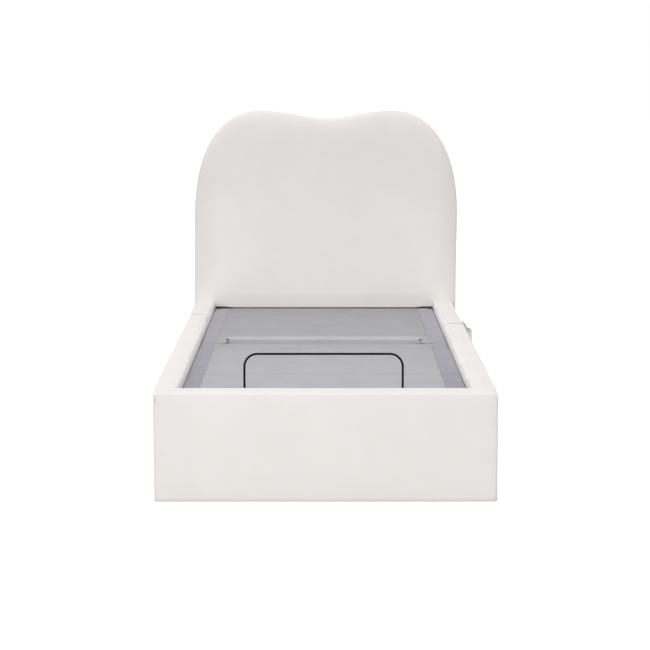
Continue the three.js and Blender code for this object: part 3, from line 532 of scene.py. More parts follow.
def hex_bolt(radius: float, head: float, washer: float) -> Mesh:
    """A hexagon bolt head on its washer, standing on z = 0.

    Args:
        radius: The head's radius over its corners.
        head: The head's height.
        washer: The washer's thickness.

    Returns:
        The bolt head and washer.
    """
    bm = bmesh.new()
    bmesh.ops.create_cone(
        bm, cap_ends=True, segments=6, radius1=radius, radius2=radius, depth=head
    )
    bmesh.ops.translate(bm, vec=(0, 0, washer + head / 2), verts=bm.verts)
    rim = [e for e in bm.edges if all(v.co.z > washer + head / 2 for v in e.verts)]
    round_edges(bm, rim, head * 0.22, 2)
    wide, bevel = radius * 1.55, washer * 0.2
    disc = [(0, 0), (wide, 0), (wide, washer - bevel), (wide - bevel, washer), (0, washer)]
    return joined([bm, lathe(disc, 24)])


def socket_screw(radius: float, height: float) -> Mesh:
    """A button-headed screw with a round socket, standing on z = 0."""
    profile = [
        (0, height * 0.35),
        (radius * 0.42, height * 0.35),
        (radius * 0.42, height),
        (radius * 0.62, height),
        (radius * 0.93, height * 0.6),
        (radius, 0),
        (0, 0),
    ]
    return lathe(profile, 24)


def swept_ring(spine: Sequence[tuple[Vector, Vector]], section: Sequence[Pair]) -> Mesh:
    """Sweeps a closed section round a closed spine that lies square to X.

    Args:
        spine: For each station its centre and its outward direction.
        section: The section's points as (distance outwards, place along X).

    Returns:
        The closed ring.
    """
    bm = bmesh.new()
    loops = [
        closed_loop(bm, [centre + out * reach + Vector((x, 0, 0)) for reach, x in section])
        for centre, out in spine
    ]
    bridge(bm, loops + loops[:1])
    bmesh.ops.recalc_face_normals(bm, faces=bm.faces)
    return bm


def slotted_eye(
    near: Pair, wander: Pair, hole: float, wall: float, thickness: float
) -> Mesh:
    """A flat eye with a slot, square to X.

    Args:
        near: The slot's first centre along Y and Z.
        wander: From there to its second centre.
        hole: The slot's radius.
        wall: The metal round it.
        thickness: The eye's thickness.

    Returns:
        The eye.
    """
    lead = math.atan2(wander[1], wander[0])
    spine = []
    for half, shift in ((0, 1.0), (1, 0.0)):
        centre = Vector((0, near[0] + wander[0] * shift, near[1] + wander[1] * shift))
        for step in range(19):
            turn = lead - math.pi / 2 + math.pi * (half + step / 18)
            spine.append((centre, Vector((0, math.cos(turn), math.sin(turn)))))
    if math.hypot(*wander) < TINY:
        spine = spine[:18] + spine[19:-1]
    flat, cut, far = thickness / 2, 0.0007, hole + wall
    section = [(hole, cut - flat), (hole + cut, -flat), (far - cut, -flat), (far, cut - flat)]
    section += [(reach, -x) for reach, x in reversed(section)]
    return swept_ring(spine, section)


# Material work


def rgba(colour: Colour, share: float = 1.0) -> tuple[float, float, float, float]:
    """A colour, scaled, with full alpha."""
    return (colour[0] * share, colour[1] * share, colour[2] * share, 1.0)


class Graph:
    """A hand for building one node tree."""

    def __init__(self, tree: Tree) -> None:
        """Takes the tree to build in."""
        self.tree = tree

    def add(self, kind: str, inputs: dict[str | int, object] | None = None, **settings: object) -> Node:
        """Adds a node.

        Args:
            kind: The node's type name without its ShaderNode prefix.
            inputs: Values or sockets for its inputs, by name or place.
            settings: The node's own settings.

        Returns:
            The node.
        """
        node = self.tree.nodes.new("ShaderNode" + kind)
        for key, value in settings.items():
            setattr(node, key, value)
        for key, value in (inputs or {}).items():
            if isinstance(value, Socket):
                self.tree.links.new(value, node.inputs[key])
            else:
                node.inputs[key].default_value = value
        return node

    def math(self, operation: str, first: object, second: object = 0.0, third: object = 0.0) -> Socket:
        """A Math node's result."""
        values = {0: first, 1: second, 2: third}
        return self.add("Math", values, operation=operation).outputs[0]

    def times(self, product: object, *factors: object) -> Socket:
        """The product of two or more values."""
        for factor in factors:
            product = self.math("MULTIPLY", product, factor)
        return product

    def times_plus(self, value: object, factor: object, extra: object) -> Socket:
        """A value times a factor, plus an extra."""
        return self.math("MULTIPLY_ADD", value, factor, extra)

    def plus(self, first: object, second: object) -> Socket:
        """The sum of two values."""
        return self.math("ADD", first, second)

    def minus(self, first: object, second: object) -> Socket:
        """The first value less the second."""
        return self.math("SUBTRACT", first, second)

    def absolute(self, value: object) -> Socket:
        """A value without its sign."""
        return self.math("ABSOLUTE", value)

    def step(self, value: Socket, low: float, high: float, bottom: float = 0, top: float = 1) -> Socket:
        """A smooth step of a value from one range to another."""
        ends = {"From Min": low, "From Max": high, "To Min": bottom, "To Max": top}
        return self.add("MapRange", {"Value": value, **ends}, interpolation_type="SMOOTHSTEP").outputs[0]

    def band(self, value: Socket, rise: Pair, fall: Pair) -> Socket:
        """1 between a smooth rise and a smooth fall, else 0."""
        return self.times(self.step(value, *rise), self.step(value, *fall))

    def hump(self, value: Socket, middle: float, width: float) -> Socket:
        """A smooth hump of height 1 round the middle."""
        share = self.math("DIVIDE", self.minus(value, middle), width)
        return self.math("EXPONENT", self.times(share, share, -1.0))

    def mix(self, factor: object, first: object, second: object, blend: str = "MIX") -> Socket:
        """A colour mix."""
        node = self.add("Mix", {0: factor, 6: first, 7: second}, data_type="RGBA", blend_type=blend)
        return node.outputs[2]

    def shades(self, mask: Socket, colour: Colour, low: float, high: float) -> Socket:
        """A colour between two shares of itself."""
        return self.mix(mask, rgba(colour, low), rgba(colour, high))

    def noise(self, vector: Socket, scale: float, detail: float = 3.0, roughness: float = 0.5) -> Socket:
        """A noise value between 0 and 1."""
        inputs = {"Vector": vector, "Scale": scale, "Detail": detail, "Roughness": roughness}
        return self.add("TexNoise", inputs).outputs["Fac"]

    def split(self, vector: Socket) -> Sequence[Socket]:
        """A vector's x, y and z."""
        return self.add("SeparateXYZ", {0: vector}).outputs

    def scaled(self, vector: object, factor: object) -> Socket:
        """A vector or a colour times a factor."""
        return self.add("VectorMath", {0: vector, 3: factor}, operation="SCALE").outputs[0]

    def stretched(self, vector: Socket, scale: Point) -> Socket:
        """A vector scaled along each axis, for a pattern that runs one way."""
        return self.add("Mapping", {"Vector": vector, "Scale": scale}).outputs[0]

    def rise(self) -> Socket:
        """How far a face looks up, from -1 to 1."""
        return self.split(self.add("NewGeometry").outputs["Normal"])[2]


class EffectLibrary:
    """The shader groups that several finishes share, each made once."""

    def __init__(self) -> None:
        """Makes the groups."""
        self.weave = self._weave()
        self.mottle = self._mottle()
        self.dust = self._dust()

    @staticmethod
    def _group(name: str, floats: dict[str, float], outputs: Sequence[str]) -> tuple[Graph, Node, Node]:
        """Starts a group with a vector input, number inputs and number outputs."""
        tree = bpy.data.node_groups.new(name, "ShaderNodeTree")
        tree.interface.new_socket("Vector", in_out="INPUT", socket_type="NodeSocketVector")
        for key, value in floats.items():
            socket = tree.interface.new_socket(key, in_out="INPUT", socket_type="NodeSocketFloat")
            socket.default_value = value
        for key in outputs:
            tree.interface.new_socket(key, in_out="OUTPUT", socket_type="NodeSocketFloat")
        return Graph(tree), tree.nodes.new("NodeGroupInput"), tree.nodes.new("NodeGroupOutput")

    def _weave(self) -> Tree:
        """Plain weave: threads that pass over and under each other, with slubs."""
        g, enter, leave = self._group("plain weave", {"Thread": 0.0012, "Slub": 0.4}, ["Height", "Shade"])
        vector = enter.outputs["Vector"]
        shift = g.times(g.minus(g.noise(vector, 60.0, 2.0), 0.5), enter.outputs["Slub"])
        turns = []
        for part in g.split(vector)[:2]:
            share = g.math("DIVIDE", part, enter.outputs["Thread"])
            turns.append(g.times(g.plus(share, shift), math.pi))
        warp, weft = [g.absolute(g.math("SINE", turn)) for turn in turns]
        over = g.times(g.math("COSINE", turns[0]), g.math("COSINE", turns[1]))
        over = g.times_plus(over, 0.5, 0.5)
        height = g.add("Mix", {0: over, 2: weft, 3: warp}, data_type="FLOAT").outputs[0]
        fibre = g.noise(vector, 2600.0, 1.0)
        height = g.times_plus(g.minus(fibre, 0.5), 0.35, height)
        g.tree.links.new(height, leave.inputs["Height"])
        g.tree.links.new(g.times_plus(height, 0.12, 0.92), leave.inputs["Shade"])
        return g.tree

    def _mottle(self) -> Tree:
        """Slow, uneven shade, as of nap, dye lots or handling."""
        g, enter, leave = self._group("slow mottle", {"Size": 0.12, "Amount": 0.05}, ["Shade", "Mask"])
        scaled = g.scaled(enter.outputs["Vector"], g.math("DIVIDE", 1.0, enter.outputs["Size"]))
        mask = g.step(g.noise(scaled, 1.0, 4.0, 0.55), 0.3, 0.7)
        shade = g.times_plus(g.minus(mask, 0.5), enter.outputs["Amount"], 1.0)
        g.tree.links.new(shade, leave.inputs["Shade"])
        g.tree.links.new(mask, leave.inputs["Mask"])
        return g.tree

    def _dust(self) -> Tree:
        """Fine dust that settles on what faces up, in uneven drifts."""
        g, enter, leave = self._group("settled dust", {"Amount": 0.3}, ["Mask"])
        facing = g.step(g.rise(), 0.45, 0.95)
        drift = g.step(g.noise(enter.outputs["Vector"], 38.0, 5.0, 0.6), 0.35, 0.75)
        g.tree.links.new(g.times(facing, drift, enter.outputs["Amount"]), leave.inputs["Mask"])
        return g.tree


EFFECTS = EffectLibrary()


class Surface:
    """One material under construction: a Principled shader and the graph that feeds it."""

    def __init__(self, name: str) -> None:
        """Starts a material of that name."""
        self.material = bpy.data.materials.new(name)
        self.material.use_nodes = True
        self.tree = self.material.node_tree
        self.g = Graph(self.tree)
        self.shader = self.tree.nodes["Principled BSDF"]
        coordinates = self.g.add("TexCoord")
        self.place = coordinates.outputs["Object"]
        self.cloth = coordinates.outputs["UV"]

    def set(self, **values: object) -> None:
        """Sets or links the shader's sockets; underscores stand for spaces."""
        for key, value in values.items():
            socket = self.shader.inputs[key.replace("_", " ")]
            if isinstance(value, Socket):
                self.tree.links.new(value, socket)
            else:
                socket.default_value = value

    def effect(self, group: Tree, vector: Socket, **values: float) -> Node:
        """Places a shared group with its own values."""
        node = self.g.add("Group", node_tree=group)
        self.tree.links.new(vector, node.inputs["Vector"])
        for key, value in values.items():
            node.inputs[key].default_value = value
        return node

    def weave(self, thread: float, slub: float) -> Node:
        """The shared weave along the cloth's own layout."""
        return self.effect(EFFECTS.weave, self.cloth, Thread=thread, Slub=slub)

    def mottle(self, size: float, amount: float) -> Socket:
        """The shared mottle's mask."""
        return self.effect(EFFECTS.mottle, self.place, Size=size, Amount=amount).outputs["Mask"]

    def dust(self, amount: float) -> Socket:
        """The shared dust's mask."""
        return self.effect(EFFECTS.dust, self.place, Amount=amount).outputs["Mask"]

    def relief(self, height: Socket, strength: float, distance: float) -> Material:
        """Feeds a height through a Bump node into the normal and gives the finished material."""
        bumped = self.g.add("Bump", {"Height": height, "Strength": strength, "Distance": distance})
        self.tree.links.new(bumped.outputs[0], self.shader.inputs["Normal"])
        return self.material


@dataclass(frozen=True)
class CoverCloth:
    """Fine close-woven off-white cover cloth.

    Painted light and shade: the cloth is drawn lighter low on the headboard, darker up it
    and at its sides, and lighter on the rails' inner faces in the well. A pair of places
    says where a change starts and where it is complete.
    """

    colour: Colour = (0.86, 0.834, 0.807)
    # The colour that painted shade in seams, folds, creases and puckers darkens the cloth towards.
    fold: Colour = (0.30, 0.29, 0.29)
    thread: float = 0.0011
    mottle: float = 0.035
    middle: float = 0.004
    # Where the painted light and shade on the headboard and in the well start and end.
    board_low: Pair = (0.378, 0.41)
    board_climb: Pair = (0.45, 1.12)
    board_side: Pair = (0.47, 0.60)
    well_side: Pair = (0.512, 0.504)
    well_top: Pair = (0.372, 0.362)
    well_foot: Pair = (-1.035, -1.0)
    well_head: Pair = (1.013, 1.005)
    # The strengths of that painted light and shade.
    nap_low: float = 0.055
    nap_fall: float = 0.11
    nap_side: float = 0.09
    nap_inward: float = 0.08
    # Painted shade on the rails' inner faces: its strength, then where it lies.
    pucker: float = 0.07
    pucker_rise: Pair = (0.484, 0.492)
    pucker_fall: Pair = (0.516, 0.506)
    pucker_head: Pair = (1.0, 0.93)
    pucker_top: Pair = (0.331, 0.337)
    # Painted shade of one crease on the left rail: its strength, course and place.
    crease: float = 0.6
    crease_from: Pair = (0.49, 0.3685)
    crease_slope: float = 0.36
    crease_width: Pair = (0.0030, 0.0008)
    crease_rise: Pair = (0.395, 0.42)
    crease_fall: Pair = (0.51, 0.49)
    crease_side: Pair = (-0.40, -0.45)

    def make(self) -> Material:
        """Builds the material."""
        s = Surface("cover_cloth")
        g = s.g
        weave = s.weave(self.thread, 0.5)
        tone = g.shades(s.mottle(0.17, self.mottle), self.colour, 0.975, 1.0)
        fine = g.times_plus(weave.outputs["Shade"], 0.5, 0.5)
        # Painted light and shade by place, multiplied into the cloth's colour.
        tone = g.mix(1.0, tone, self._nap_tone(s), "MULTIPLY")
        # Painted shade of the covers' seams, creases and pleats, noted on their vertices.
        folds = g.add("Attribute", attribute_name="soil").outputs["Fac"]
        # Both are painted shade: each darkens the cloth towards the fold colour.
        for dark in (folds, self._puckers(s)):
            tone = g.mix(dark, tone, rgba(self.fold))
        nap = g.noise(s.place, 420.0, 2.0)
        s.set(Base_Color=g.mix(1.0, tone, fine, "MULTIPLY"), Roughness=g.step(nap, 0.2, 0.8, 0.82, 0.94))
        s.set(Specular_IOR_Level=0.25, Sheen_Weight=0.22, Sheen_Roughness=0.45)
        return s.relief(g.times_plus(nap, 0.8, weave.outputs["Height"]), 0.22, 0.0006)

    def _nap_tone(self, s: Surface) -> Socket:
        """The painted light and shade at a place."""
        g = s.g
        x, along, height = g.split(s.place)
        across = g.absolute(g.plus(x, -self.middle))
        board = g.step(height, *self.board_low)
        tone = g.times_plus(board, self.nap_low, 1.0)
        tone = g.times_plus(g.step(height, *self.board_climb), -self.nap_fall, tone)
        side = g.times(g.step(across, *self.board_side), board)
        tone = g.times_plus(side, -self.nap_side, tone)
        limits = ((across, self.well_side), (height, self.well_top))
        limits += ((along, self.well_foot), (along, self.well_head))
        well = g.times(*[g.step(value, *limit) for value, limit in limits])
        return g.times_plus(well, self.nap_inward, tone)

    def _puckers(self, s: Surface) -> Socket:
        """Painted shade in the small pulled folds of the rails' inner faces and in one crease on the left
        rail.
        """
        g = s.g
        x, y, z = g.split(s.place)
        inner = g.absolute(g.plus(x, -self.middle))
        within = g.band(inner, self.pucker_rise, self.pucker_fall)
        within = g.times(within, g.band(y, self.pucker_head, self.well_foot), g.step(z, *self.pucker_top))
        crumple = g.noise(g.stretched(s.place, (26.0, 34.0, 30.0)), 1.0, 3.0)
        lines = g.step(g.absolute(g.minus(crumple, 0.5)), 0.035, 0.0)
        run = g.times_plus(g.minus(y, self.crease_from[0]), self.crease_slope, self.crease_from[1])
        fold = g.step(g.absolute(g.minus(z, run)), *self.crease_width)
        fold = g.times(fold, g.band(y, self.crease_rise, self.crease_fall), g.step(x, *self.crease_side))
        return g.times(g.plus(g.times(lines, self.pucker), g.times(fold, self.crease)), within)


@dataclass(frozen=True)
class DeckCloth:
    """Grey deck cloth: a lighter middle panel between two darker borders.

    The panel's edge swells and pulls in a little by the head hinge. Its colour carries
    painted light and shade: darker towards the headboard and on the seat's slope,
    lighter towards the foot and on the head pad's lip and end face.
    """

    panel: Colour = (0.4345, 0.430, 0.4525)
    border: Colour = (0.341, 0.331, 0.3755)
    panel_centre: float = -0.0095
    panel_half: float = 0.4305
    swell: float = 0.006
    swell_place: float = 0.035
    swell_width: float = 0.07
    pull: float = 0.0075
    pull_place: float = 0.21
    pull_width: float = 0.09
    wander: float = 0.006
    seam: Pair = (0.0022, 0.0006)
    thread: float = 0.0016
    # Painted light on the head pad's lip and end face, and painted shade on the seat's slope: where and how
    # strong.
    valley_side: Pair = (0.402, 0.386)
    lip: float = 0.24
    lip_rise: Pair = (0.175, 0.186)
    lip_fall: Pair = (0.241, 0.219)
    dip: float = 0.07
    dip_rise: Pair = (0.010, 0.030)
    dip_fall: Pair = (0.155, 0.150)
    end: float = 0.42
    end_rise: Pair = (0.150, 0.156)
    end_fall: Pair = (0.168, 0.163)
    end_top: Pair = (0.3260, 0.3200)

    def make(self) -> Material:
        """Builds the material."""
        s = Surface("deck_cloth")
        g = s.g
        x, y, z = g.split(s.place)
        gap = self._past_edge(s, x, y)
        outside = g.step(gap, -0.0008, 0.0008)
        seam = g.step(g.absolute(gap), *self.seam)
        weave = s.weave(self.thread, 0.3)
        # Painted light: the borders are drawn up to a fifth lighter towards the head end.
        border = g.scaled(self.border, g.step(y, -0.75, 0.75, 1.0, 1.2))
        tone = g.mix(outside, self._panel_tone(g, x, y, z), border)
        faded = g.mix(1.0, tone, (0.93, 0.93, 0.94, 1), "MULTIPLY")
        worn = g.mix(s.mottle(0.11, 0.1), tone, faded)
        stitched = g.mix(g.times(seam, 0.35), worn, rgba(self.border, 0.55))
        fine = g.times_plus(weave.outputs["Shade"], 0.7, 0.3)
        s.set(Base_Color=g.mix(1.0, stitched, fine, "MULTIPLY"))
        s.set(Roughness=g.step(weave.outputs["Height"], 0.0, 1.0, 0.9, 0.72))
        s.set(Specular_IOR_Level=0.3, Sheen_Weight=0.12, Sheen_Roughness=0.4)
        return s.relief(g.times_plus(seam, -2.0, weave.outputs["Height"]), 0.35, 0.0007)

    def _past_edge(self, s: Surface, x: Socket, y: Socket) -> Socket:
        """How far a place lies past the panel's slightly wandering edge."""
        g = s.g
        across = g.absolute(g.minus(x, self.panel_centre))
        edge = g.times_plus(g.hump(y, self.swell_place, self.swell_width), self.swell, self.panel_half)
        pull = g.times(g.hump(y, self.pull_place, self.pull_width), g.step(x, 0.1, -0.1))
        edge = g.times_plus(pull, -self.pull, edge)
        edge = g.times_plus(g.minus(g.noise(s.place, 5.0, 1.0), 0.5), self.wander, edge)
        return g.minus(across, edge)

    def _panel_tone(self, g: Graph, x: Socket, along: Socket, height: Socket) -> Socket:
        """The panel's colour with its painted light and shade."""
        # Painted shade: the panel is drawn darker towards the headboard and lighter towards the foot.
        tone = g.step(along, 0.15, -0.9, 0.97, 1.07)
        tone = g.times(tone, g.step(along, 0.20, 0.27, 1.0, 0.925), g.step(along, 0.55, 0.99, 1.0, 0.89))
        middle = g.step(g.absolute(x), *self.valley_side)
        lip = g.times(g.band(along, self.lip_rise, self.lip_fall), middle, self.lip)
        dip = g.times(g.band(along, self.dip_rise, self.dip_fall), self.dip)
        end = g.times(g.band(along, self.end_rise, self.end_fall), middle, g.step(height, *self.end_top))
        lip = g.times_plus(end, self.end, lip)
        tone = g.times(tone, g.minus(g.plus(1.0, lip), dip))
        return g.scaled(self.panel, tone)


@dataclass(frozen=True)
class Plywood:
    """Unfinished birch plywood with plies showing on its edges."""

    light: Colour = (0.66, 0.50, 0.32)
    dark: Colour = (0.47, 0.32, 0.18)
    ply: float = 0.0015

    def make(self) -> Material:
        """Builds the material."""
        s = Surface("plywood")
        g = s.g
        rings = g.noise(g.stretched(s.place, (14.0, 1.1, 60.0)), 1.6, 6.0, 0.62)
        fibre = g.noise(g.stretched(s.place, (420.0, 9.0, 420.0)), 1.0, 2.0)
        grain = g.step(g.times_plus(fibre, 0.3, rings), 0.42, 0.86)
        colour = g.mix(grain, rgba(self.light), rgba(self.dark))
        plies = g.math("SINE", g.times(g.split(s.place)[2], math.pi / self.ply))
        edge = g.times(g.step(g.absolute(g.rise()), 0.6, 0.3), g.step(plies, -0.3, 0.3))
        s.set(Base_Color=g.mix(g.times(edge, 0.55), colour, rgba(self.dark, 0.8)))
        s.set(Roughness=g.step(fibre, 0.2, 0.8, 0.62, 0.8), Specular_IOR_Level=0.35)
        return s.relief(g.times_plus(plies, 0.2, fibre), 0.25, 0.0008)


@dataclass(frozen=True)
class PowderCoat:
    """Black powder coat with a fine orange peel, some handling marks and a little dust."""

    colour: Colour = (0.026, 0.026, 0.029)
    dust: Colour = (0.20, 0.19, 0.18)

    def make(self) -> Material:
        """Builds the material."""
        s = Surface("powder_coat")
        g = s.g
        rub = g.step(g.noise(s.place, 24.0, 6.0, 0.65), 0.52, 0.72)
        tone = g.shades(g.times(rub, 0.5), self.colour, 1.0, 1.7)
        s.set(Base_Color=g.mix(s.dust(0.28), tone, rgba(self.dust)))
        s.set(Roughness=g.step(rub, 0.0, 1.0, 0.5, 0.36), Specular_IOR_Level=0.5)
        return s.relief(g.noise(s.place, 900.0, 2.0), 0.3, 0.0004)


@dataclass(frozen=True)
class SatinPaint:
    """Smooth satin black paint on the retainer bar, rubbed brighter where hands hold it."""

    colour: Colour = (0.004, 0.004, 0.0045)

    def make(self) -> Material:
        """Builds the material."""
        s = Surface("satin_paint")
        flow = s.g.noise(s.place, 260.0, 2.0)
        s.set(Base_Color=s.g.shades(s.mottle(0.05, 0.3), self.colour, 1.0, 1.5))
        s.set(Roughness=s.g.step(flow, 0.2, 0.8, 0.42, 0.55), Specular_IOR_Level=0.04)
        return s.relief(flow, 0.12, 0.0003)


@dataclass(frozen=True)
class MouldedPlastic:
    """Black moulded plastic with a fine spark-eroded texture."""

    colour: Colour = (0.028, 0.028, 0.031)
    dust: Colour = (0.2, 0.2, 0.19)
    grain: float = 1500.0

    def make(self) -> Material:
        """Builds the material."""
        s = Surface("moulded_plastic")
        g = s.g
        cells = g.add("TexVoronoi", {"Vector": s.place, "Scale": self.grain}).outputs["Distance"]
        tone = g.shades(s.mottle(0.04, 0.2), self.colour, 1.0, 1.25)
        s.set(Base_Color=g.mix(s.dust(0.15), tone, rgba(self.dust)))
        s.set(Roughness=g.step(cells, 0.0, 1.0, 0.5, 0.62), Specular_IOR_Level=0.45)
        return s.relief(cells, 0.3, 0.0003)


@dataclass(frozen=True)
class GroundSteel:
    """Bright ground steel with fine lines along its length."""

    name: str = "ground_steel"
    colour: Colour = (0.60, 0.61, 0.62)

    def make(self) -> Material:
        """Builds the material."""
        s = Surface(self.name)
        lines = s.g.noise(s.g.stretched(s.place, (2200.0, 30.0, 2200.0)), 1.0, 2.0)
        s.set(Base_Color=s.g.shades(s.mottle(0.03, 0.2), self.colour, 1.0, 0.86))
        s.set(Metallic=1.0, Roughness=s.g.step(lines, 0.2, 0.8, 0.2, 0.34))
        return s.relief(lines, 0.15, 0.0002)


@dataclass(frozen=True)
class SoftRubber:
    """Matt grey soft-touch rubber of the handset's buttons."""

    colour: Colour = (0.2, 0.205, 0.215)

    def make(self) -> Material:
        """Builds the material."""
        s = Surface("soft_rubber")
        bloom = s.g.noise(s.place, 700.0, 3.0)
        s.set(Base_Color=s.g.shades(s.mottle(0.006, 0.2), self.colour, 1.0, 1.12))
        s.set(Roughness=s.g.step(bloom, 0.2, 0.8, 0.7, 0.85), Specular_IOR_Level=0.3)
        return s.relief(bloom, 0.15, 0.0002)


@dataclass(frozen=True)
class DustCloth:
    """Thin black non-woven cloth of pressed fibres."""

    colour: Colour = (0.045, 0.045, 0.05)

    def make(self) -> Material:
        """Builds the material."""
        s = Surface("dust_cloth")
        g = s.g
        fibres = g.noise(g.stretched(s.cloth, (700.0, 160.0, 300.0)), 1.0, 4.0, 0.7)
        dots = g.add("TexVoronoi", {"Vector": s.cloth, "Scale": 520.0}).outputs["Distance"]
        s.set(Base_Color=g.shades(g.step(fibres, 0.3, 0.75), self.colour, 0.75, 1.5))
        s.set(Roughness=0.93, Specular_IOR_Level=0.2)
        return s.relief(g.times_plus(dots, 0.7, fibres), 0.4, 0.0005)


@dataclass(frozen=True)
class PrintedMark:
    """Pale ink of the signs on the buttons."""

    colour: Colour = (0.75, 0.76, 0.77)

    def make(self) -> Material:
        """Builds the material."""
        s = Surface("printed_mark")
        speck = s.g.step(s.g.noise(s.place, 2500.0, 2.0), 0.3, 0.7)
        s.set(Base_Color=s.g.shades(speck, self.colour, 0.9, 1.0), Roughness=0.55)
        return s.material


class Kind(Enum):
    """What a piece is made of: the record's slot and the finish drawn for it."""

    COVER = ("upholstery", CoverCloth())
    DECK = ("deck_cloth", DeckCloth())
    TIMBER = ("timber", Plywood())
    STEEL = ("black_steel", PowderCoat())
    SATIN = ("retainer_finish", SatinPaint())
    PLASTIC = ("black_plastic", MouldedPlastic())
    ROD = ("drive_rod", GroundSteel())
    ZINC = ("drive_rod", GroundSteel(name="zinc_plate", colour=(0.42, 0.42, 0.41)))
    RUBBER = ("button_rubber", SoftRubber())
    BACKING = ("back_cloth", DustCloth())
    PRINT = ("button_rubber", PrintedMark())

    @property
    def slot(self) -> str:
        """The record's material slot."""
        return self.value[0]

    def material(self) -> Material:
        """The finish's material, made when it is first used."""
        if self not in _MADE:
            _MADE[self] = self.value[1].make()
        return _MADE[self]


_MADE: dict[Kind, Material] = {}

COVER, DECK, TIMBER, STEEL, SATIN, PLASTIC, ROD, ZINC, RUBBER, BACKING, PRINT = Kind


def box_unroll(bm: Mesh) -> None:
    """Lays a shape out in metres, side by side, where it has no layout of its own."""
    if bm.loops.layers.uv:
        return
    layer = bm.loops.layers.uv.new("weave")
    bm.normal_update()
    for face in bm.faces:
        main = max(range(3), key=lambda axis: abs(face.normal[axis]))
        first, second = [a for a in range(3) if a != main]
        for loop in face.loops:
            loop[layer].uv = (loop.vert.co[first], loop.vert.co[second])


def make_piece(
    bm: Mesh,
    name: str,
    body: str,
    kind: Kind,
    stands_for: Sequence[str] = (),
    sharp: float = 40.0,
    blended: tuple[str, Point, Point] | None = None,
) -> bpy.types.Object:
    """Turns a worked shape into a piece that moves with a body.

    Args:
        bm: The shape, freed here.
        name: The piece's name.
        body: The body that it rides on.
        kind: The kind whose finish it gets.
        stands_for: The frame's nodes that it replaces.
        sharp: The angle in degrees past which an edge stays sharp.
        blended: For cloth across a joint, the other body and the bend's places; only whether it is given is
            read, and the piece then stays fixed where it lies.

    Returns:
        The piece.
    """
    box_unroll(bm)
    mesh = bpy.data.meshes.new(name)
    bm.to_mesh(mesh)
    bm.free()
    mesh.shade_smooth()
    mesh.set_sharp_from_angle(angle=math.radians(sharp))
    piece = bpy.data.objects.new(name, mesh)
    bpy.context.scene.collection.objects.link(piece)
    mesh.materials.append(kind.material())
    if blended:
        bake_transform(piece)
    else:
        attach(piece, body)
    if stands_for:
        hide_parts(*stands_for)
    LOG.info("%s on %s: %d faces", name, body, len(mesh.polygons))
    return piece


def thicken(piece: bpy.types.Object, thickness: float) -> None:
    """Gives a cloth shell its thickness, grown inwards, with its rim closed."""
    wall = piece.modifiers.new("wall", "SOLIDIFY")
    wall.thickness = thickness
    wall.offset = -1.0
    wall.use_rim = True


def dress_node(name: str, kind: Kind) -> None:
    """Gives a frame node that stays in view its finish."""
    node = frame["nodes"][name]
    for spot in node.material_slots:
        spot.material = kind.material()


# The surround


@dataclass(frozen=True)
class Rail:
    """What sets one side rail's cover apart from the other's.

    The inner face is inner metres from the middle. The seam lies across the cover at a
    place along Y, and the crease is the stretch of the inner edge that is creased. The
    flare is how far the outer side is drawn out: all along, and more at the head end.
    """

    side: Side
    inner: float
    seam: float
    crease: Pair
    flare: Pair


